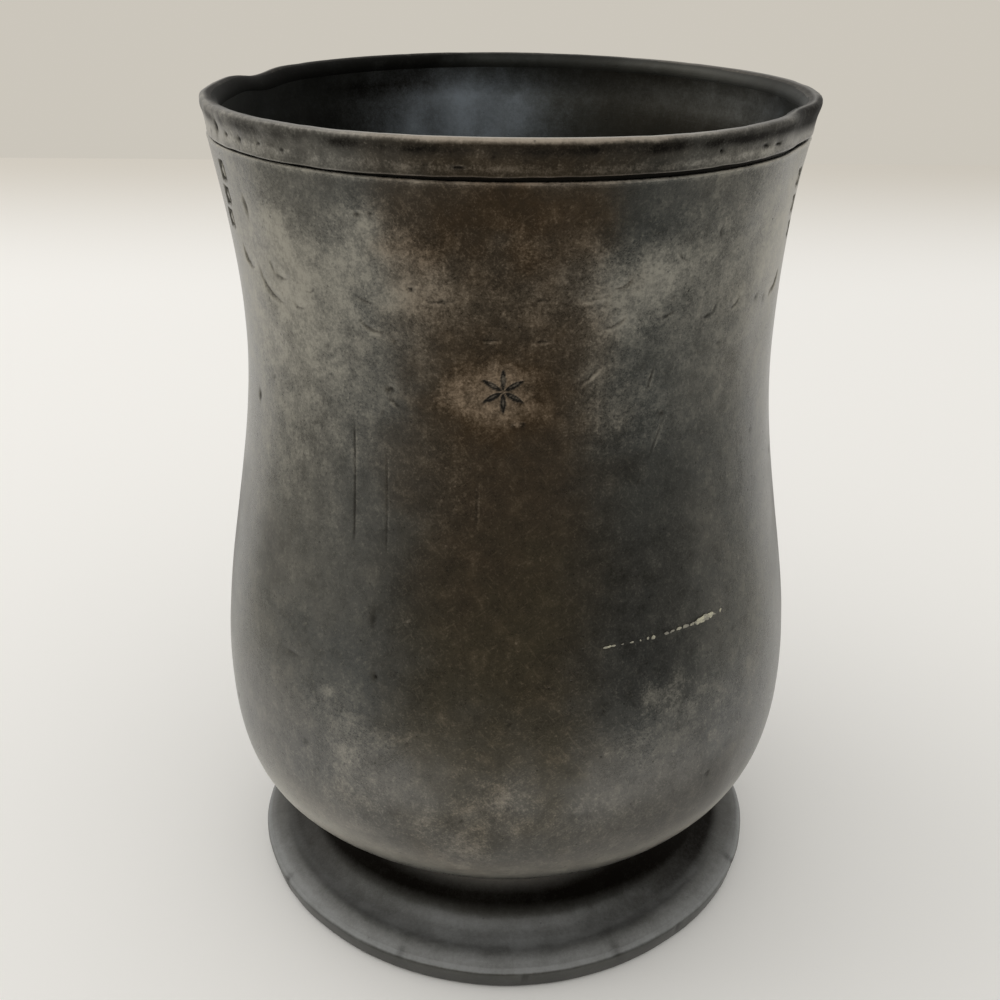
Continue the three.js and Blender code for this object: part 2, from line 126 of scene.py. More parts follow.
class Graph:
    """A node tree written as expressions."""

    def __init__(self, owner: bpy.types.Material | bpy.types.World) -> None:
        """Empties the owner's node tree."""
        owner.use_nodes = True
        self.tree = owner.node_tree
        self.tree.nodes.clear()

    def node(
        self,
        kind: str,
        settings: dict[str, Any] | None = None,
        inputs: dict[str | int, Any] | None = None,
    ) -> bpy.types.Node:
        """Adds a node of any type.

        Args:
            kind: Blender's name of the node's type.
            settings: Its own properties, set before its sockets; "stops" are those of a colour ramp.
            inputs: A number, colour or Value for each socket, by name or by place.

        Returns:
            The new node.
        """
        made = self.tree.nodes.new(kind)
        for name, setting in (settings or {}).items():
            if name == "stops":
                self._set_stops(made.color_ramp, setting)
            else:
                setattr(made, name, setting)
        for name, given in (inputs or {}).items():
            if isinstance(given, Value):
                self.tree.links.new(given.socket, made.inputs[name])
            else:
                made.inputs[name].default_value = given
        return made

    def _set_stops(self, ramp: bpy.types.ColorRamp, stops: list[tuple[float, Colour]]) -> None:
        """Gives a colour ramp its stops, each a place from 0 to 1 and a colour."""
        while len(ramp.elements) < len(stops):
            ramp.elements.new(1.0)
        for element, (place, colour) in zip(ramp.elements, stops):
            element.position = place
            element.color = colour

    def add(
        self,
        kind: str,
        settings: dict[str, Any] | None = None,
        inputs: dict[str | int, Any] | None = None,
        output: str | int = 0,
    ) -> Value:
        """Adds a node of any type and gives one of its outputs.

        Args:
            kind: Blender's name of the node's type.
            settings: Its own properties, set before its sockets.
            inputs: A number, colour or Value for each socket, by name or by place.
            output: The output that goes on into the expression, by name or by place.

        Returns:
            That output.
        """
        return Value(self, self.node(kind, settings, inputs).outputs[output])

    def attribute(self, name: str) -> Value:
        """A number that the mesh holds at each of its points."""
        return self.add("ShaderNodeAttribute", {"attribute_name": name}, output="Fac")

    def lumps(self, place: Value, size: float, detail: float = 4.0, roughness: float = 0.6) -> Value:
        """Noise from 0 to 1, about 0.5.

        Args:
            place: Where the noise is read.
            size: Size of its largest lumps, in metres.
            detail: How many times smaller lumps are added.
            roughness: How much the smaller lumps count.

        Returns:
            The noise.
        """
        inputs = {"Vector": place, "Scale": 1 / size, "Detail": detail, "Roughness": roughness}
        return self.add("ShaderNodeTexNoise", {}, inputs, "Fac")

    def step(self, value: Value, low: float, high: float) -> Value:
        """0 below one value, 1 above another and smooth between them."""
        inputs = {"Value": value, "From Min": low, "From Max": high}
        return self.add("ShaderNodeMapRange", {"interpolation_type": "SMOOTHSTEP"}, inputs)

    def stretch(self, place: Value, scale: tuple[float, float, float]) -> Value:
        """A vector times a scale along each axis."""
        return self.add("ShaderNodeVectorMath", {"operation": "MULTIPLY"}, {0: place, 1: scale})

    def mix(self, factor: Value | float, first: Any, second: Any) -> Value:
        """Blends two colours."""
        return self.add("ShaderNodeMix", {"data_type": "RGBA"}, {0: factor, 6: first, 7: second}, 2)


# Finishes


@dataclass(frozen=True)
class Pewter:
    """Cast pewter: soft grey metal under tarnish, rubbed pale in places, grainy and pitted."""

    name: str
    metal: Colour
    dull: Colour
    brown: Colour
    olive: Colour
    pale: Colour
    blush: Colour
    soot: Colour
    roughness: float
    stipple: float = 1.0
    bloom: float = 0.34
    grain: float = 1.0
    cloud_size: float = 17 * MM
    patch_size: float = 6 * MM
    mottle_size: float = 3.2 * MM
    speck_size: float = 0.62 * MM
    grain_size: float = 0.25 * MM
    pit_size: float = 1.5 * MM
    stroke_size: float = 0.9 * MM
    scuff_size: float = 0.5 * MM
    ring_size: float = 0.3 * MM
    relief_depth: float = 0.03 * MM
    olive_below: float = 52 * MM
    brown_above: float = 86 * MM
    stain_wander: float = 60 * MM
    mottle_pale: float = 0.15
    mottle_soot: float = 0.24
    fine_pale: float = 0.38
    fine_soot: float = 0.32
    scuff_pale: float = 0.16
    rub_pale: float = 0.76
    rub_break: float = 0.3
    pit_soot: float = 0.5
    haze_chalk: float = 0.55
    grime_rough: float = 0.4

    def material(self) -> bpy.types.Material:
        """Makes the finish. It reads the mesh's wear, haze, grime and warm attributes, which in places hold
        a painted highlight, a painted glint, painted shade and a painted brown reflection.

        Returns:
            The material.
        """
        made = bpy.data.materials.new(self.name)
        graph = Graph(made)
        place = graph.add("ShaderNodeTexCoord", output="Object")
        cloud = graph.lumps(place, self.cloud_size, 5)
        mottle = graph.lumps(place, self.mottle_size, 5, 0.65)
        speck = graph.lumps(place, self.speck_size, 4, 0.72)
        grain = graph.lumps(place, self.grain_size, 2, 0.7)
        pit = self._pits(graph, place)
        warm = graph.attribute("warm")
        height = graph.add("ShaderNodeSeparateXYZ", {}, {"Vector": place}, "Z")
        fine = (speck + grain + self._strokes(graph, place) * 0.25 - 1.125) * self.stipple
        uneven = fine * 0.9 + (mottle - 0.5) * (0.9 * self.stipple)
        spread = graph.step(graph.lumps(place, self.patch_size, 4), 0.36, 0.64)
        patch = 1 + (spread - 0.5) * (0.4 * self.stipple)
        rubbed = graph.step(graph.attribute("wear") * patch + uneven, 0.08, 1.2)
        broken = (graph.step(mottle + speck, 0.86, 1.14) - 0.5) * (self.rub_break * self.stipple)
        pale = graph.mix(warm, self.pale, self.blush)
        level = height + (cloud - 0.5) * self.stain_wander
        stain_and_reflection = graph.mix(graph.step(level, self.olive_below, self.brown_above), self.olive, self.brown)
        colour = graph.mix(graph.step(cloud, 0.36, 0.64), self.metal, self.dull)
        # The warm amount blends in the stain colour: tarnish in places, and a painted brown reflection down
        # the front.
        colour = graph.mix(warm * (0.65 + mottle * 0.6), colour, stain_and_reflection)
        light, dark = self.mottle_pale * self.stipple, self.mottle_soot * self.stipple
        colour = graph.mix(graph.step(mottle, 0.5, 0.68) * light, colour, pale)
        colour = graph.mix(graph.step(1 - mottle, 0.5, 0.68) * dark, colour, self.soot)
        colour = graph.mix(graph.step(fine, 0.0, 0.5) * self.fine_pale, colour, pale)
        colour = graph.mix(graph.step(0 - fine, 0.0, 0.5) * self.fine_soot, colour, self.soot)
        colour = graph.mix(self._scuffs(graph, place) * (self.scuff_pale * self.stipple), colour, pale)
        # Rubbed places turn pale: wear, and in places a painted highlight.
        colour = graph.mix(rubbed * (self.rub_pale + broken), colour, pale)
        # Haze turns the colour pale and chalky; on the front of the lip's rolled edge it paints a glint.
        haze = graph.attribute("haze") * (0.6 + speck * 0.8)
        colour = graph.mix(haze, colour, pale)
        colour = graph.mix(pit * (self.pit_soot * self.stipple), colour, self.soot)
        # Grime darkens the colour towards soot; in creases, the lip's cove, the foot's hollow and the mouth
        # it is painted shade.
        grime = graph.attribute("grime")
        colour = graph.mix(grime * (1 - uneven), colour, self.soot)
        rough = self.roughness + (mottle - 0.5) * 0.12 + fine * 0.15 + rubbed * 0.1
        rough = rough + grime * self.grime_rough
        shader = graph.add(
            "ShaderNodeBsdfPrincipled",
            {},
            {
                "Base Color": colour,
                "Metallic": 0.96 - rubbed * self.bloom - haze * self.haze_chalk,
                "Roughness": rough,
                "Normal": self._relief(graph, height, mottle, speck + grain, pit),
            },
        )
        graph.node("ShaderNodeOutputMaterial", {}, {"Surface": shader})
        return made

    def _strokes(self, graph: Graph, place: Value) -> Value:
        """Faint upright strokes that cleaning has left, as noise drawn out along Z."""
        drawn = graph.stretch(place, (1, 1, 0.06))
        return graph.lumps(drawn, self.stroke_size, 3, 0.7)

    def _scuffs(self, graph: Graph, place: Value) -> Value:
        """Short fine scratches that lean both ways, as 1 on a scratch and 0 beside it."""
        lines = []
        for lean in (38, -52):
            inputs = {"Vector": place, "Angle": math.radians(lean)}
            leaning = graph.add("ShaderNodeVectorRotate", {"rotation_type": "Y_AXIS"}, inputs)
            drawn = graph.stretch(leaning, (1, 1, 0.16))
            lines.append(graph.step(graph.lumps(drawn, self.scuff_size, 2, 0.6), 0.60, 0.72))
        return lines[0] + lines[1]

    def _pits(self, graph: Graph, place: Value) -> Value:
        """Small corrosion pits, as 1 in a pit and 0 outside."""
        cells = graph.node("ShaderNodeTexVoronoi", {}, {"Vector": place, "Scale": 1 / self.pit_size})
        near = Value(graph, cells.outputs["Distance"])
        pick = graph.add("ShaderNodeSeparateColor", {}, {0: Value(graph, cells.outputs["Color"])})
        return (1 - graph.step(near, 0.04, 0.16)) * graph.step(pick, 0.8, 0.84)

    def _relief(self, graph: Graph, height: Value, mottle: Value, fine: Value, pit: Value) -> Value:
        """Fine relief of the surface: casting grain, pits and faint rings from the lathe.

        Args:
            graph: The material's graph.
            height: Height in object coordinates.
            mottle: Noise of a few millimetres.
            fine: Noise of a few tenths of a millimetre.
            pit: 1 in a pit.

        Returns:
            The normal.
        """
        rings = graph.add(
            "ShaderNodeTexNoise",
            {"noise_dimensions": "1D"},
            {"W": height, "Scale": 1 / self.ring_size, "Detail": 3.0},
            "Fac",
        )
        relief = fine * (0.7 * self.grain) + mottle * 0.9 + rings * 0.25 - pit
        return graph.add("ShaderNodeBump", {}, {"Distance": self.relief_depth, "Height": relief})


@dataclass(frozen=True)
class Solder:
    """Soft solder or old filler: a dull, lumpy skin."""

    name: str
    bright: Colour
    dark: Colour
    metallic: float
    roughness: float
    lump_size: float = 1.6 * MM
    relief_depth: float = 0.06 * MM

    def material(self) -> bpy.types.Material:
        """Makes the finish. It reads the mesh's grime attribute, which blackens the solder under the lip
        band as painted shade.

        Returns:
            The material.
        """
        made = bpy.data.materials.new(self.name)
        graph = Graph(made)
        place = graph.add("ShaderNodeTexCoord", output="Object")
        lumps = graph.lumps(place, self.lump_size, 5, 0.7)
        grime = graph.attribute("grime")
        colour = graph.mix(graph.step(lumps, 0.38, 0.66), self.dark, self.bright)
        shader = graph.add(
            "ShaderNodeBsdfPrincipled",
            {},
            {
                "Base Color": graph.mix(grime, colour, self.dark),
                "Metallic": self.metallic,
                "Roughness": self.roughness + (lumps - 0.5) * 0.3,
                "Normal": graph.add("ShaderNodeBump", {}, {"Distance": self.relief_depth, "Height": lumps}),
            },
        )
        graph.node("ShaderNodeOutputMaterial", {}, {"Surface": shader})
        return made


AGED_PEWTER = Pewter(
    name="aged pewter",
    metal=grey(0.158, 0.154, 0.144),
    dull=grey(0.132, 0.133, 0.129),
    brown=grey(0.116, 0.084, 0.056),
    olive=grey(0.106, 0.091, 0.057),
    pale=grey(0.400, 0.380, 0.328),
    blush=grey(0.420, 0.325, 0.235),
    soot=grey(0.018, 0.016, 0.013),
    roughness=0.29,
)
WORN_PEWTER = Pewter(
    name="worn pewter",
    metal=grey(0.175, 0.168, 0.154),
    dull=grey(0.135, 0.132, 0.124),
    brown=grey(0.100, 0.076, 0.052),
    olive=grey(0.100, 0.076, 0.052),
    pale=grey(0.430, 0.412, 0.370),
    blush=grey(0.400, 0.330, 0.255),
    soot=grey(0.016, 0.014, 0.012),
    roughness=0.31,
)
# The foot's and base plate's finish: a darker copy of the pewter, partly painted shade under the bowl,
# whose bluish pale colour paints the highlight in the foot's hollow.
SHADED_DARK_PEWTER = Pewter(
    name="dark pewter",
    metal=grey(0.128, 0.128, 0.122),
    dull=grey(0.104, 0.104, 0.099),
    brown=grey(0.060, 0.048, 0.036),
    olive=grey(0.060, 0.048, 0.036),
    pale=grey(0.270, 0.280, 0.285),
    blush=grey(0.220, 0.190, 0.150),
    soot=grey(0.010, 0.008, 0.006),
    roughness=0.38,
    stipple=0.35,
    bloom=0.7,
    grain=0.4,
)
# The inside's finish: darker than the outside, as painted shade inside the mug, and its bluish pale colour
# paints the highlight at the back of the mouth.
INSIDE_SHADED_PEWTER = Pewter(
    name="inside pewter",
    metal=grey(0.100, 0.105, 0.100),
    dull=grey(0.062, 0.066, 0.062),
    brown=grey(0.060, 0.052, 0.040),
    olive=grey(0.060, 0.052, 0.040),
    pale=grey(0.240, 0.285, 0.335),
    blush=grey(0.190, 0.195, 0.175),
    soot=grey(0.010, 0.010, 0.009),
    roughness=0.38,
    stipple=0.35,
    bloom=0.8,
    grain=0.5,
)
JOINT_SOLDER = Solder("joint solder", grey(0.17, 0.165, 0.15), grey(0.020, 0.018, 0.016), 0.9, 0.45)
OLD_FILLER = Solder("old filler", grey(0.60, 0.58, 0.42), grey(0.20, 0.19, 0.16), 0.0, 0.7)


# Working a turned piece


def fractal(points: np.ndarray, size: float, octaves: int = 3) -> np.ndarray:
    """Fractal noise at each point.

    Args:
        points: Places, in metres.
        size: Size of the largest lumps, in metres.
        octaves: How many sizes of lumps there are.

    Returns:
        Numbers from about -1 to 1.
    """
    places = (Vector(point) / size for point in points)
    return np.fromiter((noise.fractal(p, 1.0, 2.0, octaves) for p in places), float, len(points))


def ridge(values: np.ndarray, centre: float, width: float) -> np.ndarray:
    """1 where values are at a centre, falling off over a width."""
    return np.exp(-(((values - centre) / width) ** 2))


def ramp(values: np.ndarray, start: float, length: float) -> np.ndarray:
    """0 where values are up to a start, rising evenly to 1 over a length."""
    return np.clip((values - start) / length, 0, 1)


class Skin:
    """The points of a piece, as arrays that marks are pressed into."""

    # The stored amounts mix real marks with painted light: wear also holds painted highlights, haze a
    # painted glint, grime painted shade, and warm a painted brown reflection.
    STORED: ClassVar[tuple[str, ...]] = ("wear", "haze", "grime", "warm")
    OUTSIDE_SLACK: ClassVar[float] = 0.25 * MM
    STEEPEST: ClassVar[float] = 12.0

    def __init__(self, mesh: bpy.types.Mesh, radius_at: RadiusAt | None = None) -> None:
        """Reads a mesh.

        Args:
            mesh: The mesh, about the Z axis.
            radius_at: The outside's radius at each height of a turned piece, which tells the
                outside from the rest; without it, every point is outside.
        """
        count = len(mesh.vertices)
        self.mesh = mesh
        self.points = np.empty((count, 3))
        self.normals = np.empty((count, 3))
        mesh.vertices.foreach_get("co", self.points.reshape(-1))
        mesh.vertices.foreach_get("normal", self.normals.reshape(-1))
        self.angle = np.arctan2(self.points[:, 0], -self.points[:, 1])
        self.radius = np.hypot(self.points[:, 0], self.points[:, 1])
        self.height = self.points[:, 2].copy()
        self.outside = np.ones(count, bool)
        if radius_at is not None:
            self.outside = self.radius > radius_at(self.height) - self.OUTSIDE_SLACK
            self.normals = self._turned_normals(radius_at)
        self.depth = np.zeros(count)
        self.shift = np.zeros((count, 3))
        self.wear, self.haze, self.grime, self.warm = np.zeros((4, count))

    def _turned_normals(self, radius_at: RadiusAt) -> np.ndarray:
        """Normals of the turned outside, from the slope of its radius."""
        nudge = 0.05 * MM
        rise = radius_at(self.height + nudge) - radius_at(self.height - nudge)
        slope = np.clip(rise / (2 * nudge), -self.STEEPEST, self.STEEPEST)
        return np.column_stack([self.outward, -slope]) / np.sqrt(1 + slope**2)[:, None]

    @property
    def outward(self) -> np.ndarray:
        """The level direction away from the axis at each point."""
        return self.points[:, :2] / np.maximum(self.radius, 1e-9)[:, None]

    def near(
        self, angle: float, height: float, reach: float, tilt: float = 0.0
    ) -> tuple[np.ndarray, np.ndarray, np.ndarray]:
        """Points close to a place.

        Args:
            angle: Degrees from the front, to the right.
            height: Height above the table.
            reach: How far the points may be, to each side.
            tilt: Degrees by which the two directions are turned, right end up.

        Returns:
            The points' numbers, and their distances to the right of the place and above it.
        """
        rows = np.flatnonzero(np.abs(self.height - height) < reach)
        turn = self.angle[rows] - math.radians(angle)
        right = np.arctan2(np.sin(turn), np.cos(turn)) * self.radius[rows]
        close = np.abs(right) < reach
        rows, right = rows[close], right[close]
        up = self.height[rows] - height
        cosine, sine = math.cos(math.radians(tilt)), math.sin(math.radians(tilt))
        return rows, right * cosine + up * sine, up * cosine - right * sine

    def bell(self, angle: float, width: float) -> np.ndarray:
        """1 at an angle round the piece, falling off over a width, both in degrees."""
        turn = self.angle - math.radians(angle)
        return np.exp(-((np.arctan2(np.sin(turn), np.cos(turn)) / math.radians(width)) ** 2))

    def bells(self, rows: list[tuple[float, float, float]]) -> np.ndarray:
        """The sum of bells, each an amount in millimetres, an angle and a width in degrees."""
        return sum(amount * MM * self.bell(angle, width) for amount, angle, width in rows)

    def press(self, marks: Iterable["Mark"], inside: bool = False) -> None:
        """Presses marks into the outside, or into the inside.

        Args:
            marks: The marks, pressed one after another.
            inside: Whether they are on the inside.
        """
        names = ("depth", *self.STORED)
        kept = {name: getattr(self, name).copy() for name in names}
        for mark in marks:
            mark.press(self)
        for name, old in kept.items():
            setattr(self, name, np.where(self.outside != inside, getattr(self, name), old))

    def finish(self) -> None:
        """Moves the mesh's points and stores its attributes."""
        inward = self.normals * np.where(self.outside, self.depth, 0)[:, None]
        moved = self.points - inward + self.shift
        self.mesh.vertices.foreach_set("co", moved.ravel())
        for name in self.STORED:
            stored = self.mesh.attributes.new(name, "FLOAT", "POINT")
            stored.data.foreach_set("value", np.clip(getattr(self, name), 0, 1).astype(np.float32))
        self.mesh.update()


@dataclass(frozen=True)
class Zone:
    """A place on a turned piece that needs a finer mesh."""

    angle: float
    height: float
    half_width: float
    half_tall: float


class Mark:
    """Something that time or a tool has left on a skin."""

    lengths: ClassVar[int] = 3

    def press(self, skin: Skin) -> None:
        """Presses the mark into a skin."""
        raise NotImplementedError

    def zone(self) -> Zone | None:
        """The place that needs a finer mesh for the mark, if there is one."""
        return None


@dataclass(frozen=True)
class Patch(Mark):
    """A mark at one place: degrees from the front to the right, a height, a width and how tall it is."""

    angle: float
    height: float
    width: float
    tall: float

    def bowl(self, skin: Skin, reach: float) -> tuple[np.ndarray, np.ndarray]:
        """A bell over the patch.

        Args:
            skin: The skin that the patch lies on.
            reach: How far out the bell is worked out, in sizes of the patch.

        Returns:
            The numbers of the points in reach, and the bell's value at each.
        """
        rows, right, up = skin.near(self.angle, self.height, reach * max(self.width, self.tall))
        return rows, np.exp(-((right / self.width) ** 2) - (up / self.tall) ** 2)


def placed(kind: type[Mark], rows: Iterable[tuple[float, ...]]) -> list[Mark]:
    """Marks of one kind at many places.

    Args:
        kind: The kind of mark, which says how many lengths follow the angle.
        rows: The numbers of each mark: its angle, its lengths in millimetres and the rest.

    Returns:
        The marks.
    """
    end = kind.lengths + 1
    return [kind(row[0], *(size * MM for size in row[1:end]), *row[end:]) for row in rows]


@dataclass(frozen=True)
class Dent(Patch):
    """A soft hollow, dark at the bottom where grime is given, or a bulge where its depth is negative."""

    depth: float
    grime: float = 0.0
    lengths: ClassVar[int] = 4

    def press(self, skin: Skin) -> None:
        """Presses the hollow into a skin."""
        rows, bowl = self.bowl(skin, 3)
        skin.depth[rows] += self.depth * bowl
        skin.grime[rows] += self.grime * bowl

    def zone(self) -> Zone | None:
        """The hollow's own place, unless it is wide enough for any mesh."""
        if self.width > 3 * MM:
            return None
        return Zone(self.angle, self.height, 1.5 * self.width, 1.5 * self.tall)


@dataclass(frozen=True)
class Crease(Mark):
    """A crescent that a blow has left: a steep lower side and a gentle upper one, with painted shade along
    its edge and a painted highlight just under it.
    """

    angle: float
    height: float
    width: float
    sag: float
    depth: float
    tilt: float = 0.0
    spread: float = 0.8 * MM
    edge: float = 0.16 * MM
    waver: float = 0.22 * MM
    line_grime: float = 0.62
    ridge_wear: float = 0.45
    lengths: ClassVar[int] = 4

    def press(self, skin: Skin) -> None:
        """Presses the crescent into a skin."""
        rows, right, up = skin.near(self.angle, self.height, self.width + 4 * self.spread, self.tilt)
        share = 2 * right / self.width
        above = up + self.sag * (1 - share**2) + self.waver * fractal(skin.points[rows], 1.6 * MM, 2)
        broken = np.clip(1 + fractal(skin.points[rows] + self.width, 1.1 * MM, 1), 0.3, 1)
        fade = np.clip(1 - share**2, 0, 1) * broken
        line = fade * ridge(above, 0, self.edge)
        shape = np.where(above > 0, fade * np.exp(-above / self.spread), line)
        skin.depth[rows] += self.depth * shape
        # Painted shade along the crease's edge and a painted highlight just below it.
        skin.grime[rows] += self.line_grime * line
        skin.wear[rows] += self.ridge_wear * fade * ridge(above, -2.2 * self.edge, 1.4 * self.edge)

    def zone(self) -> Zone | None:
        """The crescent's own place."""
        return Zone(self.angle, self.height, 0.55 * self.width, 0.3 * self.width + 0.7 * MM)


@dataclass(frozen=True)
class Scratch(Mark):
    """A straight line scored from one height to another."""

    angle: float
    low: float
    high: float
    lean: float = 0.0
    width: float = 0.17 * MM
    depth: float = 0.07 * MM
    grime: float = 0.8
    side_wear: float = 0.3
    run_out: float = 2 * MM

    def press(self, skin: Skin) -> None:
        """Scores the line into a skin."""
        half = (self.high - self.low) / 2
        rows, right, up = skin.near(self.angle, self.low + half, half + self.run_out / 2, self.lean)
        within = ramp(half - np.abs(up), 0, self.run_out)
        line = within * ridge(right, 0, self.width)
        skin.depth[rows] += self.depth * line
        skin.grime[rows] += self.grime * line
        skin.wear[rows] += self.side_wear * within * ridge(right, 2 * self.width, self.width)

    def zone(self) -> Zone | None:
        """The line's own place."""
        half = (self.high - self.low) / 2
        lean = abs(math.tan(math.radians(self.lean))) * half
        return Zone(self.angle, self.low + half, 0.6 * MM + lean, half)


@dataclass(frozen=True)
class RubAndHighlight(Patch):
    """A pale patch where handling has rubbed the tarnish pale, or left it chalky, and in places a painted
    highlight.
    """

    amount: float
    haze: float = 0.0

    def press(self, skin: Skin) -> None:
        """Adds the patch to a skin's wear and haze."""
        rows, patch = self.bowl(skin, 2.6)
        skin.wear[rows] += self.amount * patch
        skin.haze[rows] += self.haze * patch


@dataclass(frozen=True)
class TarnishAndPaintedLight(Patch):
    """A dark patch with a ragged edge, brown or neutral: tarnish in some places, painted shade or a painted
    brown reflection in others.
    """

    brown: float
    grime: float = 0.0

    def press(self, skin: Skin) -> None:
        """Adds the patch to a skin's warmth and grime, which carry tarnish, painted shade and painted
        reflections alike.
        """
        rows, right, up = skin.near(self.angle, self.height, 1.9 * max(self.width, self.tall))
        ragged = 1 + 0.3 * fractal(skin.points[rows], 9 * MM)
        patch = np.exp(-((right / (self.width * ragged)) ** 4) - (up / (self.tall * ragged)) ** 4)
        skin.warm[rows] += self.brown * patch
        skin.grime[rows] += self.grime * patch


@dataclass(frozen=True)
class Belt(Mark):
    """Wear all round the piece, at a height, bright or chalky; under the lip band it paints a highlight
    along the wall's top edge.
    """

    height: float
    tall: float
    wear: float
    haze: float = 0.0

    def press(self, skin: Skin) -> None:
        """Adds the belt to a skin's wear and haze."""
        belt = ridge(skin.height, self.height, self.tall)
        skin.wear += self.wear * belt
        skin.haze += self.haze * belt


@dataclass(frozen=True)
class Wobble(Mark):
    """Hand-finished unevenness of the whole surface."""

    size: float
    depth: float

    def press(self, skin: Skin) -> None:
        """Pushes the low places of a smooth noise in."""
        skin.depth += self.depth * np.clip(fractal(skin.points, self.size, 2) + 0.5, 0, 1.5)


@dataclass(frozen=True)
class Pits(Mark):
    """Corrosion pits scattered over a band of heights."""

    count: int
    low: float
    high: float
    seed: int
    width: float = 0.42 * MM
    depth: float = 0.12 * MM
    grime: float = 0.5

    def press(self, skin: Skin) -> None:
        """Presses the pits into a skin."""
        chance = np.random.default_rng(self.seed)
        for _ in range(self.count):
            size = self.width * chance.uniform(0.6, 1.3)
            angle, height = chance.uniform(-180, 180), chance.uniform(self.low, self.high)
            Dent(angle, height, size, size, self.depth * chance.uniform(0.4, 1.3), self.grime).press(skin)


@dataclass(frozen=True)
class Rosette(Mark):
    """A punched six-petal rosette, with the tarnish round it rubbed pale."""

    angle: float
    height: float
    radius: float
    depth: float

    def press(self, skin: Skin) -> None:
        """Punches the rosette into a skin."""
        rows, right, up = skin.near(self.angle, self.height, 5 * self.radius)
        out = np.hypot(right, up)
        petals = np.zeros(len(out))
        for petal in range(6):
            sides = [self._clear(right, up, petal * 60 + lean) for lean in (-60, 60)]
            petals = np.maximum(petals, np.minimum(*sides))
        cut = np.clip(petals / (0.09 * self.radius), 0, 1)
        rim = ridge(petals, 0.05 * self.radius, 0.05 * self.radius) * (petals > 0)
        sunk = np.clip(1.2 - out / self.radius, 0, 0.15) / 0.15
        skin.depth[rows] += self.depth * (cut + 0.3 * sunk)
        skin.grime[rows] += 0.9 * rim + 0.35 * cut
        ragged = self.radius * (1 + 0.35 * fractal(skin.points[rows], 3 * MM))
        halo = np.hypot((right + 0.4 * self.radius) / 1.35, up + 0.1 * self.radius) / ragged
        skin.wear[rows] += 0.7 * np.exp(-((halo / 1.35) ** 4)) + 0.3 * cut
        skin.warm[rows] += 0.6 * np.exp(-((halo / 1.8) ** 2)) - 0.8 * cut

    def _clear(self, right: np.ndarray, up: np.ndarray, degrees: float) -> np.ndarray:
        """How far each point is inside the compass arc struck from one point of the ring."""
        turn = math.radians(degrees)
        across = right - self.radius * math.sin(turn)
        rise = up - self.radius * math.cos(turn)
        return np.clip(self.radius - np.hypot(across, rise), 0, None)

    def zone(self) -> Zone | None:
        """The rosette's own place."""
        return Zone(self.angle, self.height, 1.35 * self.radius, 1.35 * self.radius)


@dataclass(frozen=True)
class Punch(Patch):
    """A worn oblong punch with a raised lozenge in it."""

    depth: float
    lengths: ClassVar[int] = 4

    def press(self, skin: Skin) -> None:
        """Punches the oblong into a skin."""
        rows, right, up = skin.near(self.angle, self.height, max(self.width, self.tall))
        edge = 0.3 * MM
        ragged = 0.18 * MM * fractal(skin.points[rows], 0.9 * MM, 2)
        across = ramp(self.width / 2 - np.abs(right) + ragged, 0, edge)
        rise = ramp(self.tall / 2 - np.abs(up) + ragged, 0, edge)
        off_centre = 2.2 * np.abs(right) / self.width + 1.7 * np.abs(up) / self.tall
        lozenge = np.clip((0.8 - off_centre) / 0.3, 0, 1)
        sunk = across * rise * (1 - 0.8 * lozenge)
        skin.depth[rows] += self.depth * sunk
        skin.grime[rows] += 0.72 * sunk
        skin.wear[rows] += 0.5 * lozenge

    def zone(self) -> Zone | None:
        """The oblong's own place."""
        return Zone(self.angle, self.height, 0.6 * self.width, 0.6 * self.tall)


def turned(profile: Profile, front: int, back: int, closed: bool = True) -> bmesh.types.BMesh:
    """Turns a profile about the Z axis, in two halves so that the front can be finer.

    Args:
        profile: Radius and height of each point, in order.
        front: Steps round the front half.
        back: Steps round the back half.
        closed: Whether the profile closes on itself; otherwise it ends on the axis.

    Returns:
        A closed mesh whose faces point outwards.
    """
    mesh = bmesh.new()
    points = [mesh.verts.new((-radius, 0, height)) for radius, height in profile]
    pairs = list(zip(points, points[1:]))
    if closed:
        pairs.append((points[-1], points[0]))
    row = [*points, *(mesh.edges.new(pair) for pair in pairs)]
    for steps in (front, back):
        spun = bmesh.ops.spin(
            mesh, geom=row, cent=(0, 0, 0), axis=(0, 0, 1), angle=math.pi, steps=steps
        )
        row = spun["geom_last"]
    bmesh.ops.remove_doubles(mesh, verts=mesh.verts, dist=1e-6)
    bmesh.ops.recalc_face_normals(mesh, faces=mesh.faces)
    return mesh


def arc(
    centre: tuple[float, float], size: tuple[float, float], start: float, end: float, steps: int
) -> Profile:
    """A stretch of an ellipse.

    Args:
        centre: Radius and height of its centre.
        size: Its half axes, across and up.
        start: First angle, in degrees, from outwards.
        end: Last angle.
        steps: Number of chords.

    Returns:
        The points.
    """
    turns = [math.radians(start + (end - start) * step / steps) for step in range(steps + 1)]
    return [(centre[0] + size[0] * math.cos(t), centre[1] + size[1] * math.sin(t)) for t in turns]


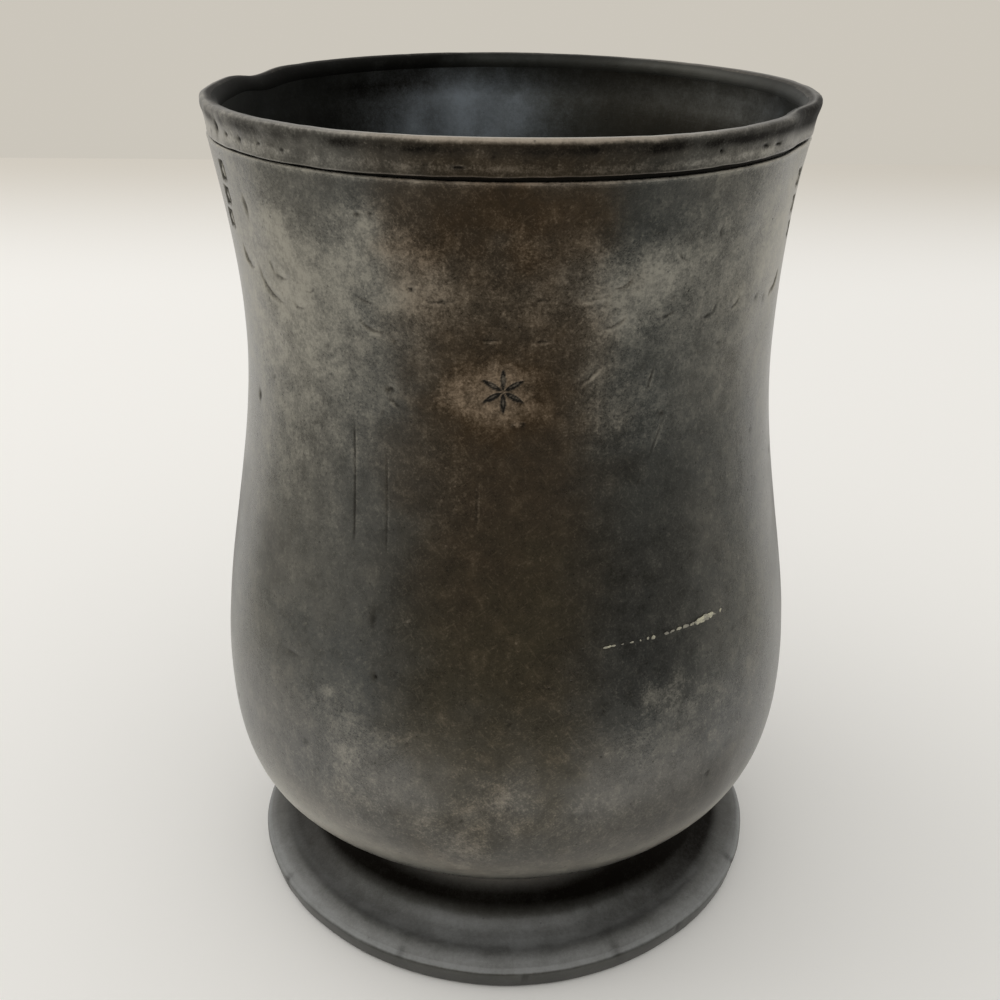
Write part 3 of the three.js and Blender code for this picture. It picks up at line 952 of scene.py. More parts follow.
def refine(mesh: bmesh.types.BMesh, marks: Iterable[Mark], least_radius: float, cuts: int = 2) -> None:
    """Cuts the outer faces finer where marks need it.

    Args:
        mesh: The mesh.
        marks: The marks.
        least_radius: Faces nearer the axis than this are left as they are.
        cuts: Cuts across each edge.
    """
    zones = [zone for zone in (mark.zone() for mark in marks) if zone is not None]
    middles = np.array([face.calc_center_median() for face in mesh.faces])
    angle = np.arctan2(middles[:, 0], -middles[:, 1])
    radius = np.hypot(middles[:, 0], middles[:, 1])
    wanted = np.zeros(len(middles), bool)
    for zone in zones:
        turn = angle - math.radians(zone.angle)
        right = np.abs(np.arctan2(np.sin(turn), np.cos(turn))) * radius
        wanted |= (right < zone.half_width) & (np.abs(middles[:, 2] - zone.height) < zone.half_tall)
    wanted &= radius > least_radius
    edges = {edge for face, chosen in zip(mesh.faces, wanted) if chosen for edge in face.edges}
    bmesh.ops.subdivide_edges(mesh, edges=list(edges), cuts=cuts, use_grid_fill=True)


def tube(sides: int, stations: int) -> bmesh.types.BMesh:
    """A closed tube of radius 1 along Z from 0 to 1, cut into stations."""
    mesh = bmesh.new()
    lift = Matrix.Translation((0, 0, 0.5))
    bmesh.ops.create_cone(
        mesh, cap_ends=True, segments=sides, radius1=1, radius2=1, depth=1, matrix=lift
    )
    upright = [e for e in mesh.edges if abs(e.verts[0].co.z - e.verts[1].co.z) > 0.5]
    bmesh.ops.subdivide_edges(mesh, edges=upright, cuts=stations - 1)
    return mesh


def as_data(mesh: bmesh.types.BMesh, name: str) -> bpy.types.Mesh:
    """Turns a bmesh into mesh data and frees it."""
    data = bpy.data.meshes.new(name)
    mesh.to_mesh(data)
    mesh.free()
    return data


def cast(
    node: str,
    profile: Profile,
    steps: tuple[int, int],
    radius_at: RadiusAt | None = None,
    marks: Iterable[Mark] = (),
    least_radius: float | None = None,
) -> Skin:
    """Turns a closed profile into the mesh of a piece and presses marks into its outside.

    Args:
        node: The CAD node that the piece stands for.
        profile: Radius and height of each point, in order.
        steps: Steps round the front half and round the back half.
        radius_at: The outside's radius at each height; without it, every point is outside.
        marks: The marks.
        least_radius: Faces further out are cut finer where marks need it; without it, none is.

    Returns:
        The piece's skin.
    """
    mesh = turned(profile, *steps)
    if least_radius is not None:
        refine(mesh, marks, least_radius)
    skin = Skin(as_data(mesh, f"{node}_cast"), radius_at)
    skin.press(marks)
    return skin


def face_outwards(data: bpy.types.Mesh) -> None:
    """Turns the faces of a closed mesh round if they point inwards."""
    mesh = bmesh.new()
    mesh.from_mesh(data)
    inside_out = mesh.calc_volume(signed=True) < 0
    mesh.free()
    if inside_out:
        data.flip_normals()


def enter(
    data: bpy.types.Mesh, name: str, material: bpy.types.Material, node: str | None = None
) -> bpy.types.Object:
    """Makes mesh data a piece of the mug.

    Args:
        data: The mesh, about the Z axis.
        name: The piece's name.
        material: Its finish.
        node: The CAD node that it replaces, if there is one.

    Returns:
        The piece.
    """
    data.transform(Matrix.Translation(AXIS))
    data.shade_smooth()
    data.materials.append(material)
    piece = bpy.data.objects.new(name, data)
    bpy.context.scene.collection.objects.link(piece)
    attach(piece, "root")
    if node is not None:
        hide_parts(node)
    LOG.info("%s: %d faces, %s", piece.name, len(data.polygons), material.name)
    return piece


def publish(skin: Skin, node: str, material: bpy.types.Material) -> bpy.types.Object:
    """Finishes a skin and makes its mesh the piece that stands for a CAD node.

    Args:
        skin: The skin, about the Z axis.
        node: The CAD node that it replaces.
        material: Its finish.

    Returns:
        The piece.
    """
    skin.finish()
    face_outwards(skin.mesh)
    piece = enter(skin.mesh, f"{node}_cast", material, node)
    skin.mesh.set_sharp_from_angle(angle=SHARP_ANGLE)
    return piece


# The body


@dataclass(frozen=True)
class BodyCurve:
    """The outer curve of the body: a full bowl, a smooth fall to the waist and a flaring neck."""

    base_radius: float = 25.4 * MM
    belly_radius: float = 45.7 * MM
    waist_radius: float = 39.2 * MM
    neck_radius: float = 42.1 * MM
    base_height: float = 13.7 * MM
    belly_height: float = 38.7 * MM
    waist_height: float = 92.5 * MM
    neck_height: float = 122.0 * MM
    fullness: float = 2.5

    def radius(self, height: np.ndarray) -> np.ndarray:
        """The radius at each height."""
        fall = np.clip((self.belly_height - height) / (self.belly_height - self.base_height), 0, 1)
        share = (1 - fall**self.fullness) ** (1 / self.fullness)
        bowl = self.base_radius + (self.belly_radius - self.base_radius) * share
        rise = ramp(height, self.belly_height, self.waist_height - self.belly_height)
        ease = rise * rise * (3 - 2 * rise)
        flare = ramp(height, self.waist_height, self.neck_height - self.waist_height)
        side = self.belly_radius + (self.waist_radius - self.belly_radius) * ease
        neck = (self.neck_radius - self.waist_radius) * flare**2
        return np.where(height < self.belly_height, bowl, side + neck)

    def point(self, height: float, inset: float = 0.0) -> tuple[float, float]:
        """A point of the curve, moved inwards square to the wall."""
        nudge = 0.01 * MM
        low = max(height - nudge, self.base_height)
        high = min(height + nudge, self.neck_height)
        run = float(self.radius(np.array(high)) - self.radius(np.array(low)))
        along = Vector((run, high - low)).normalized()
        radius = float(self.radius(np.array(height)))
        return (radius - along.y * inset, height + along.x * inset)

    def under(self, radius: float) -> float:
        """The height of the bowl's underside at a radius."""
        share = (radius - self.base_radius) / (self.belly_radius - self.base_radius)
        fall = (1 - share**self.fullness) ** (1 / self.fullness)
        return self.belly_height - (self.belly_height - self.base_height) * fall

    def bowl(self, steps: int, inset: float = 0.0) -> Profile:
        """The bowl from its opening up to the belly, closer together where it turns."""
        depth = self.belly_height - self.base_height
        turns = [math.pi / 2 * step / steps for step in range(steps + 1)]
        return [self.point(self.belly_height - depth * math.cos(turn), inset) for turn in turns]

    def side(self, low: float, high: float, steps: int, inset: float = 0.0) -> Profile:
        """The curve between two heights, at even rises."""
        return [self.point(low + (high - low) * step / steps, inset) for step in range(steps + 1)]


def line(piece: bpy.types.Object, inside: bpy.types.Material, curve: BodyCurve) -> None:
    """Gives the faces of a piece's inside their own finish, darker as painted shade.

    Args:
        piece: The piece.
        inside: The finish.
        curve: The body's outer curve, from which the depth is measured.
    """
    faces = piece.data.polygons
    piece.data.materials.append(inside)
    middles = np.empty(len(faces) * 3)
    faces.foreach_get("center", middles)
    middles = middles.reshape(-1, 3) - np.array(AXIS)
    depth = curve.radius(middles[:, 2]) - np.hypot(middles[:, 0], middles[:, 1])
    faces.foreach_set("material_index", (depth > INSIDE_DEPTH).astype(np.int32))


@dataclass
class Body:
    """The two castings of the body and the solder in the seam between them."""

    curve: BodyCurve = field(default_factory=BodyCurve)
    wall: float = 1.8 * MM
    joint_gap: float = 0.3 * MM
    seam_height: float = 60.0 * MM
    seam_half: float = 0.06 * MM
    seam_depth: float = 0.45 * MM
    seam_lap: float = 2.5 * MM
    rebate: float = 0.8 * MM
    wall_top: float = 124.78 * MM
    edge_round: float = 0.4 * MM
    crumb_thick: float = 0.10 * MM
    crumb_sunk: float = 0.05 * MM
    crumb_grain: float = 0.45 * MM
    crumb_ragged: float = 0.16 * MM
    crumb_seed: int = 5
    steps: tuple[int, int] = (260, 100)
    neck_rows: int = 112
    neck_inside_rows: int = 26
    bowl_rows: int = 70
    bowl_inside_rows: int = 22
    side_rows: int = 40
    side_inside_rows: int = 8

    @property
    def lap_wall(self) -> float:
        """Thickness of the upper casting's skirt in the lap."""
        return (self.wall - self.joint_gap) / 2

    def build(
        self, finish: bpy.types.Material, inside: bpy.types.Material, filler: bpy.types.Material
    ) -> None:
        """Builds and dresses the body.

        Args:
            finish: The finish of the castings' outside.
            inside: The finish of their inside.
            filler: The finish of the old filler that is left in the seam.
        """
        line(self._upper(finish), inside, self.curve)
        line(self._lower(finish), inside, self.curve)
        self._seam(finish)
        self._crumbs(filler)

    def _shared_marks(self) -> list[Mark]:
        """What runs over the castings and the seam alike: their unevenness, the larger stains, and patches
        of painted reflection and painted shade.
        """
        # The first three rows paint the brown reflection down the front, the row at 26 degrees a charcoal
        # reflection beside it, and the rows at -85, -86, 85 and 86 degrees shade at the left and right
        # edges; the rest are tarnish.
        # Angle in degrees, height, width and tallness in millimetres, then brown and grime
        stains_and_painted_light = [
            (-1.2, 79, 13.2, 41, 0.75, 0.06), (-9, 117.5, 8.5, 6.0, 0.6, 0.26),
            (9, 117, 8.0, 6.0, 0.5, 0.0), (26, 64.5, 8.8, 17.5, 0.0, 0.44), (0, 45, 11, 9, 0.1, 0.16),
            (-20, 66, 4.0, 13, 0.0, 0.14), (-52, 66, 3.5, 5.0, 0.0, 0.2), (10, 28, 34, 7, 0.15, 0.2),
            (38, 29, 10, 7, 0.0, 0.16), (-85, 62, 10, 13, 0.0, 0.32), (-86, 38, 9, 9, 0.0, 0.12),
            (85, 62, 10, 13, 0.0, 0.3), (86, 38, 9, 9, 0.0, 0.1), (-150, 66, 18, 20, 0.4, 0.1),
            (140, 108, 16, 10, 0.5, 0.1), (150, 46, 18, 10, 0.4, 0.1),
        ]
        return [Wobble(24 * MM, 0.10 * MM), Wobble(7.5 * MM, 0.03 * MM), *placed(TarnishAndPaintedLight, stains_and_painted_light)]

    def _upper(self, finish: bpy.types.Material) -> bpy.types.Object:
        """The upper casting: waist and neck, with a rebate for the lip band."""
        curve, seam = self.curve, self.seam_height
        skirt_top = seam + self.seam_lap + self.joint_gap
        rebate = curve.neck_radius - self.rebate
        mouth = curve.neck_radius - self.wall
        turn = self.edge_round
        profile = [
            *curve.side(seam + self.seam_half, curve.neck_height - turn, self.neck_rows),
            *arc((curve.neck_radius - turn, curve.neck_height - turn), (turn, turn), 15, 90, 5),
            (rebate, curve.neck_height),
            (rebate, self.wall_top),
            (mouth, self.wall_top),
            *curve.side(curve.neck_height, skirt_top, self.neck_inside_rows, self.wall),
            curve.point(skirt_top, self.lap_wall),
            curve.point(seam + self.seam_half, self.lap_wall),
        ]
        marks = [*self._shared_marks(), *self._blows(), *self._neck_patina()]
        least_radius = curve.waist_radius - 0.5 * MM
        skin = cast("upper_body", profile, self.steps, curve.radius, marks, least_radius)
        skin.press(self._inside_patina(), inside=True)
        Lip.bend(skin)
        return publish(skin, "upper_body", finish)

    def _blows(self) -> list[Mark]:
        """Creases, dents, scratches and punches of the waist and neck."""
        # Angle in degrees, height, width, sag and depth in millimetres, then tilt in degrees
        creases = [
            (-60, 107.6, 4.6, 1.3, 0.26, -34), (-51.5, 104.8, 7.0, 1.4, 0.30, -32),
            (-48, 107.6, 4.6, 1.3, 0.26, -18), (-43, 103.6, 3.0, 0.5, 0.14, -6),
            (-39.5, 106.3, 2.4, 0.6, 0.12, 20), (-25, 103.2, 4.2, 0.9, 0.26, -14),
            (-26.5, 106.4, 2.8, 0.4, 0.13, -18), (-12.3, 107.2, 4.4, 0.2, 0.12, 2),
            (-3.0, 102.6, 3.0, 0.2, 0.09, 3), (7.0, 107.8, 3.2, 0.2, 0.10, 4),
            (6.0, 102.4, 3.6, 0.2, 0.09, 2), (15.6, 107.6, 4.0, 0.2, 0.12, 4),
            (20.0, 109.2, 3.5, 0.6, 0.24, 18), (17.0, 106.4, 2.2, 0.1, 0.12, 2),
            (19.1, 104.3, 3.8, 0.6, 0.20, 16), (30.2, 104.4, 2.6, 0.4, 0.13, 14),
            (40.4, 103.8, 4.2, 1.1, 0.27, 20), (48.2, 103.6, 2.6, 0.6, 0.15, 28),
            (66.5, 103.4, 5.0, 1.1, 0.26, 38), (32.1, 111.6, 2.6, 0.1, 0.12, -42),
            (-21, 93.0, 2.4, 0.2, 0.09, -35), (15, 97.5, 4.5, 0.3, 0.07, 38),
            (-160, 99.0, 6.0, 1.0, 0.16, 12), (128, 84.0, 5.0, 0.9, 0.14, -20),
            (-118, 78.0, 4.2, 0.7, 0.12, 25),
        ]
        # Angle in degrees, height, width, tallness and depth in millimetres, then grime
        dents = [
            (-22.2, 94.8, 0.46, 0.40, 0.28, 0.85), (-25.9, 117.1, 0.42, 0.32, 0.16, 0.65),
            (-23.5, 117.4, 0.26, 0.22, 0.12, 0.6), (-17.2, 108.3, 0.36, 0.32, 0.22, 0.9),
            (-20.6, 101.4, 0.36, 0.3, 0.14, 0.5), (40.4, 113.9, 0.26, 0.6, 0.14, 0.6),
            (-56.5, 114.8, 0.36, 1.20, 0.2, 0.65), (-63, 87.0, 0.40, 0.80, 0.18, 0.6),
            (-24.5, 62.6, 0.45, 1.30, 0.08, 0.34),
        ]
        hollows = [
            (-57, 111.5, 4.5, 4.5, 0.25), (-47, 104.0, 4.0, 3.2, 0.22), (-36, 109.0, 5.0, 3.5, 0.15),
            (-54, 97.0, 5.0, 4.0, 0.18), (29, 106.5, 3.6, 3.1, 0.18), (44, 106.0, 4.5, 3.5, 0.22),
            (54, 113.0, 5.0, 4.0, 0.22), (61, 98.0, 5.0, 4.0, 0.18), (-84, 117.5, 24, 11, -0.45),
            (88, 97, 20, 18, -0.6),
        ]
        punches = [
            (-64.5, 118.5, 2.3, 3.0, 0.35), (-65.5, 115.0, 2.3, 2.6, 0.35),
            (-67.0, 111.7, 2.6, 2.6, 0.35), (71.0, 117.2, 2.6, 2.6, 0.4), (72.0, 113.5, 2.6, 2.6, 0.4),
            (73.5, 109.8, 2.6, 2.4, 0.4),
        ]
        return [
            *placed(Crease, creases),
            *placed(Dent, dents),
            Pits(40, 64 * MM, 121 * MM, seed=3, width=0.34 * MM, depth=0.09 * MM),
            Scratch(-30.2, 72.3 * MM, 89.5 * MM, lean=1.8, width=0.14 * MM, grime=0.75),
            Scratch(-23.0, 71.8 * MM, 86.5 * MM, lean=1.5, width=0.12 * MM, depth=0.04 * MM, grime=0.4),
            Scratch(27.6, 93.8 * MM, 98.4 * MM, lean=-16, grime=0.6),
            Scratch(29.5, 84.0 * MM, 91.2 * MM, lean=-24, depth=0.04 * MM, grime=0.35),
            Scratch(-5.6, 76.0 * MM, 84.0 * MM, depth=0.03 * MM, grime=0.3),
            Rosette(-0.8, 95.6 * MM, 3.1 * MM, 0.22 * MM),
            *placed(Punch, [(1.9, 91.2, 1.9, 0.9, 0.10)]),
            *placed(Dent, hollows),
            *placed(Punch, punches),
        ]

    def _neck_patina(self) -> list[Mark]:
        """Rubbed and chalky patches of the waist and neck, the broad ones on the sides partly painted
        light, and a painted highlight along the wall's rounded top edge under the band.
        """
        # Angle in degrees, height, width and tallness in millimetres, then wear and haze
        rubs_and_highlights = [
            (-54, 110, 18, 14, 0.56, 0.1), (-38, 97, 16, 13, 0.42, 0.06), (-62, 92, 14, 16, 0.22, 0.09),
            (52, 111, 18, 14, 0.34, 0.1), (70, 104, 10, 18, 0.25, 0.12), (68, 113, 9, 9, 0.35, 0.14),
            (-29, 112, 5, 5, 0.28), (38, 112, 6, 5, 0.2), (24, 90, 6, 6, 0.22), (-10, 83, 4, 8, 0.15),
            (34, 97, 14, 10, 0.16, 0.09), (-50, 78, 14, 11, 0.16, 0.06), (-47, 66, 10, 8, 0.0, 0.06),
            (-46, 109, 3.2, 8, 0.24), (-34, 117.5, 4.0, 4.0, -0.1), (-25, 116.5, 3.2, 3.4, 0.5),
            (-32, 107, 7.5, 5.0, 0.16), (-17, 109, 5.0, 4.6, 0.44), (-18, 113.5, 4.5, 3.6, 0.36),
            (8, 114, 9.0, 4.5, 0.26), (-37, 100, 5.0, 4.0, 0.15), (24, 109.5, 7.0, 4.2, 0.66),
            (21.5, 105.5, 4.0, 4.2, 0.38), (17, 95, 6.0, 8, 0.26), (0, 106, 16, 6, 0.3),
            (-18, 63.2, 0.7, 0.6, 0.8), (170, 90, 14, 12, 0.2), (-140, 100, 16, 10, 0.2),
            (110, 72, 14, 9, 0.2),
        ]
        # The belt paints a highlight along the wall's rounded top edge.
        return [*placed(RubAndHighlight, rubs_and_highlights), Belt(121.85 * MM, 0.24 * MM, wear=0.8)]

    def _inside_patina(self) -> list[Mark]:
        """Patches inside the mouth that paint its light and shade: a painted highlight at the back, painted
        shade at the back left and under the rim at the back, and paler patches near the top on the right;
        the brown patch on the right is tarnish.
        """
        rubs_and_highlights = [(-166, 117, 17, 8.5, 1.25), (140, 121.5, 20, 4, 0.34), (112, 122, 16, 4, 0.46)]
        stains_and_painted_light = [(132, 119, 24, 14, 0.8), (-118, 116, 32, 14, 0.0, 0.8), (-177, 123.8, 24, 2.6, 0.0, 0.45)]
        return [*placed(RubAndHighlight, rubs_and_highlights), *placed(TarnishAndPaintedLight, stains_and_painted_light)]

    def _lower(self, finish: bpy.types.Material) -> bpy.types.Object:
        """The lower casting: the belly and the bowl, open underneath."""
        curve, seam = self.curve, self.seam_height
        tongue_top = seam + self.seam_lap
        tongue = self.lap_wall + self.joint_gap
        profile = [
            *curve.bowl(self.bowl_rows),
            *curve.side(curve.belly_height, seam - self.seam_half, self.side_rows)[1:],
            curve.point(seam - self.seam_half, tongue),
            curve.point(tongue_top, tongue),
            *curve.side(tongue_top, curve.belly_height, self.side_inside_rows, self.wall),
            *reversed(curve.bowl(self.bowl_inside_rows, self.wall)[:-1]),
        ]
        marks = [*self._shared_marks(), *self._belly_marks()]
        skin = cast("lower_body", profile, self.steps, curve.radius, marks, curve.waist_radius)
        return publish(skin, "lower_body", finish)

    def _belly_marks(self) -> list[Mark]:
        """What shows on the belly."""
        # Angle in degrees, height, width and tallness in millimetres, then wear and haze
        rubs_and_highlights = [
            (-29, 44, 3.6, 5.0, 0.5), (-30, 35, 9.0, 5.0, 0.3), (-33.6, 50.1, 2.0, 0.8, 0.42),
            (-50, 24.5, 18, 6, 0.35, 0.45), (50, 24, 16, 5, 0.0, 0.2), (-36, 48, 4.0, 2.5, 0.3),
            (-20, 46, 4.0, 2.5, 0.2), (-1, 37.5, 4.0, 5.0, 0.46), (-8, 27.5, 4.0, 4.0, 0.45),
            (-10, 33, 8.0, 6.0, 0.14), (26, 51.5, 2.0, 2.4, 0.42), (32, 49.5, 2.8, 3.6, 0.42),
            (23.5, 44, 4.0, 2.4, 0.3), (40, 46, 14, 8, 0.2), (12, 34, 9.0, 3.5, 0.18),
            (-165, 42, 16, 9, 0.2), (95, 40, 14, 8, 0.22),
        ]
        return [
            *placed(RubAndHighlight, rubs_and_highlights),
            Belt(22 * MM, 3.0 * MM, wear=0.2, haze=0.52),
            *placed(Dent, [(-62, 20, 18, 9, -0.6)]),
            Pits(24, 26 * MM, 58 * MM, seed=8, width=0.36 * MM, depth=0.08 * MM),
            *placed(Dent, [(-23.7, 54.7, 0.46, 0.75, 0.12, 0.38), (-42.9, 53.3, 1.3, 0.25, 0.06, 0.3)]),
        ]

    def _seam(self, finish: bpy.types.Material) -> None:
        """The solder in the seam, dressed flush with the castings."""
        curve, seam, half = self.curve, self.seam_height, self.seam_half
        profile = [curve.point(seam - half), curve.point(seam + half), curve.point(seam, self.seam_depth)]
        skin = cast("seam_solder", profile, self.steps, curve.radius, self._shared_marks())
        publish(skin, "seam_solder", finish)

    def _crumbs(self, filler: bpy.types.Material) -> None:
        """Flat crumbs of old filler on the seam, at the right of the front.

        Args:
            filler: Their finish.
        """
        # Angle in degrees, length and tallness in millimetres, then grime
        crumbs = [
            (18.4, 1.3, 0.30, 0.35), (19.6, 0.6, 0.25, 0.6), (21.4, 0.4, 0.2, 0.8),
            (23.2, 0.6, 0.3, 0.55), (24.9, 0.3, 0.3, 0.75), (26.6, 0.4, 0.35, 0.6), (27.6, 0.6, 0.5, 0.4),
            (30.6, 0.7, 0.4, 0.25), (31.8, 0.9, 0.35, 0.3), (33.4, 1.0, 0.5, 0.55), (35.0, 1.1, 0.6, 0.7),
            (36.6, 0.9, 0.5, 0.55), (38.2, 1.5, 0.9, 0.05), (39.8, 2.0, 1.3, 0.0), (41.3, 1.6, 1.15, 0.0),
            (42.4, 0.7, 0.5, 0.35), (44.3, 0.5, 0.6, 0.45),
        ]
        mesh = bmesh.new()
        dirt = mesh.verts.layers.float.new("grime")
        radius = float(self.curve.radius(np.array(self.seam_height))) - self.crumb_sunk
        for angle, length, tall, grime in crumbs:
            turn = Matrix.Rotation(math.radians(angle), 4, "Z")
            at = Matrix.Translation((0, -radius, self.seam_height))
            size = Matrix.Diagonal((length * MM / 2, self.crumb_thick, tall * MM / 2, 1))
            made = bmesh.ops.create_icosphere(mesh, subdivisions=3, radius=1, matrix=turn @ at @ size)
            for vert in made["verts"]:
                vert[dirt] = grime
        noise.seed_set(self.crumb_seed)
        for vert in mesh.verts:
            ragged = noise.noise_vector(vert.co / self.crumb_grain) * self.crumb_ragged
            vert.co += ragged * Vector((1, 0.25, 1))
        enter(as_data(mesh, "seam_filler"), "seam_filler", filler)


# The lip


@dataclass
class Lip:
    """The band round the mouth and the solder in the crevice under it."""

    curve: BodyCurve = field(default_factory=BodyCurve)
    mouth_radius: float = 40.3 * MM
    skirt_radius: float = 41.5 * MM
    low: float = 122.6 * MM
    top: float = 127.0 * MM
    cap_height: float = 124.8 * MM
    edge_radius: float = 43.12 * MM
    edge_round: float = 0.55 * MM
    mouth_round: tuple[float, float] = (1.7 * MM, 2.0 * MM)
    cove_radius: float = 42.7 * MM
    cove_height: float = 125.7 * MM
    swell_radius: float = 42.52 * MM
    swell_height: float = 123.5 * MM
    low_round: float = 0.3 * MM
    outside_slack: float = 0.3 * MM
    solder_inner: float = 41.35 * MM
    solder_low: float = 122.05 * MM
    bead_gap: float = 0.05 * MM
    rows: int = 18
    steps: tuple[int, int] = (300, 140)
    bend_low: ClassVar[float] = 112 * MM
    bend_tall: ClassVar[float] = 14 * MM

    @classmethod
    def bend(cls, skin: Skin) -> None:
        """Bends the mouth out of true: worn low, nicked at the back left and pinched at the right."""
        near = ramp(skin.height, cls.bend_low, cls.bend_tall) ** 2
        drop = 0.2 * MM + skin.bells([(0.6, -113, 6), (-0.15, -103, 5), (0.12, 35, 18)])
        drop += 0.1 * MM * np.sin(3 * skin.angle + 0.8)
        drop *= 1 - skin.bell(-4, 28)
        oval = MM * (0.17 + 0.13 * np.sin(skin.angle)) * np.sin(skin.angle) ** 2
        pinch = skin.bells([(0.8, 64, 6), (0.2, -111, 7), (0.2, 150, 25)]) - oval
        skin.shift[:, :2] -= skin.outward * (near * pinch)[:, None]
        skin.shift[:, 2] -= near * np.clip(drop, 0, None)

    def build(
        self, finish: bpy.types.Material, inside: bpy.types.Material, solder: bpy.types.Material
    ) -> None:
        """Builds and dresses the lip.

        Args:
            finish: The band's finish.
            inside: The finish of its inside.
            solder: The solder's finish.
        """
        line(self._band(finish), inside, self.curve)
        self._solder(solder)

    def _outside(self) -> Profile:
        """The band's outside: a rounded lower edge, a slight swell and a cove under the rolled edge."""
        low = self.low + self.low_round
        roll = self.top - self.edge_round
        points = arc((self.swell_radius - self.low_round, low), (self.low_round,) * 2, -90, 0, 5)
        spread = self.edge_radius - self.swell_radius
        hollow = self.swell_radius + spread / 2 - self.cove_radius
        for row in range(1, self.rows):
            share = row / self.rows
            ease = share * share * (3 - 2 * share)
            cove = hollow * math.sin(math.pi * share**1.3) ** 2
            points.append((self.swell_radius + spread * ease - cove, low + (roll - low) * share))
        return points

    def _band(self, finish: bpy.types.Material) -> bpy.types.Object:
        """The band, with its edge rolled over the wall."""
        across, up = self.mouth_round
        edge = (self.edge_round, self.edge_round)
        profile = [
            (self.skirt_radius, self.low),
            *self._outside(),
            *arc((self.edge_radius - self.edge_round, self.top - self.edge_round), edge, 0, 90, 8),
            *arc((self.mouth_radius + across, self.top - up), (across, up), 90, 180, 12),
            (self.mouth_radius, self.cap_height),
            (self.skirt_radius, self.cap_height),
        ]
        least = self.cove_radius - self.outside_slack
        skin = cast("lip_band", profile, self.steps, lambda z: np.full(len(z), least), self._marks(), least)
        skin.press(self._mouth_patina(), inside=True)
        self._wear_down(skin)
        self.bend(skin)
        return publish(skin, "lip_band", finish)

    def _mouth_patina(self) -> list[Mark]:
        """Painted shade inside the mouth, black at the back left and dark at the back, and brown tarnish at
        the back right.
        """
        stains_and_painted_light = [(-118, 125, 32, 8, 0.0, 0.8), (-177, 125, 24, 8, 0.0, 0.45), (132, 125, 24, 8, 0.4)]
        return placed(TarnishAndPaintedLight, stains_and_painted_light)

    def _wear_down(self, skin: Skin) -> None:
        """Wears the rolled edge bright with a painted glint at the front, paints shade in the cove, on the
        crest and on the mouth's sides, paints a highlight on the swell, and lets the lower edge wander.
        """
        cloud = fractal(skin.points, 6 * MM)
        crest = ramp(skin.height, self.top - 0.75 * MM, 0.6 * MM)
        edge = crest * ramp(skin.radius, 41.6 * MM, 0.5 * MM)
        # The rolled edge is worn pale, brightest at the front, where its wear and haze paint a glint.
        skin.wear += edge * (1.4 + 0.6 * cloud) * (0.2 + 0.8 * skin.bell(5, 24))
        skin.haze += edge * (1.0 + 0.5 * cloud) * skin.bell(0, 26)
        # Partly patina, partly painted shade in the cove under the rolled edge.
        cove = np.where(skin.outside, ridge(skin.height, self.cove_height, 0.85 * MM), 0)
        skin.grime += cove * (0.5 + 0.6 * cloud + 0.45 * skin.bell(52, 36))
        # A pale band along the swell: partly wear, partly a painted highlight.
        swell = np.where(skin.outside, ridge(skin.height, self.swell_height, 0.6 * MM), 0)
        skin.wear += swell * (0.42 + 0.4 * cloud)
        # Painted shade on the crest away from the front and on the mouth's inner edge at the sides.
        flare = 1 - ramp(skin.radius, 41.6 * MM, 0.5 * MM)
        skin.grime += crest * 0.25 * (1 - skin.bell(5, 40))
        skin.grime += flare * 0.5 * (skin.bell(-100, 50) + skin.bell(85, 45))
        foot = 1 - ramp(skin.height, self.low, 0.9 * MM)
        closing = 0.4 * MM * np.clip(skin.bell(-58, 42) * 1.6, 0, 1) + 0.1 * MM * cloud
        skin.shift[:, 2] -= foot * np.clip(closing, -0.15 * MM, 0.5 * MM)
        skin.shift[:, 2] -= 0.1 * MM * np.clip(cloud, 0, 1) * (1 - foot)

    def _marks(self) -> list[Mark]:
        """Pits, dents and unevenness of the band, rubbed patches, painted shade at the right end of the
        cove and a painted brown reflection on the front.
        """
        # Angle in degrees, then height, width and tallness in millimetres
        pits = [
            (-62, 124.4, 0.5, 0.9), (-57, 124.0, 0.35, 0.35), (-52, 123.9, 0.45, 0.4),
            (-46, 124.0, 0.3, 0.25), (-40, 123.8, 0.4, 0.3), (-8, 123.6, 0.9, 0.2), (36, 124.6, 0.3, 0.3),
            (47.5, 124.2, 0.75, 0.3), (51.5, 124.0, 0.6, 0.25), (120, 124.2, 0.5, 0.4),
            (-150, 124.0, 0.5, 0.4),
        ]
        return [
            Wobble(7 * MM, 0.16 * MM),
            Wobble(2.6 * MM, 0.07 * MM),
            *placed(Dent, ((*pit, 0.2, 0.85) for pit in pits)),
            Pits(16, 123.2 * MM, 125.6 * MM, seed=5, width=0.3 * MM, depth=0.08 * MM),
            *placed(RubAndHighlight, [(-70, 124, 20, 4, 0.6, 0.12), (52, 123.6, 12, 2, 0.35)]),
            # Painted shade at the right end of the cove, and a painted brown reflection on the front.
            *placed(TarnishAndPaintedLight, [(68, 126, 9, 2.2, 0.0, 0.75), (1, 125, 19, 5, 0.8, 0.12)]),
        ]

    def _solder(self, solder: bpy.types.Material) -> None:
        """The solder at the bottom of the crevice under the band, blackened as painted shade."""
        inner, outer = self.solder_inner, self.skirt_radius
        low, high = self.solder_low, self.low - self.bead_gap
        profile = [(inner, low), (outer, low), (outer, high), (inner, high)]
        front, back = self.steps
        skin = cast("lip_solder", profile, (front // 2, back // 2), self.curve.radius)
        # Blackened all over: painted shade in the crevice.
        skin.grime += 1.0
        self.bend(skin)
        publish(skin, "lip_solder", solder)


# The foot


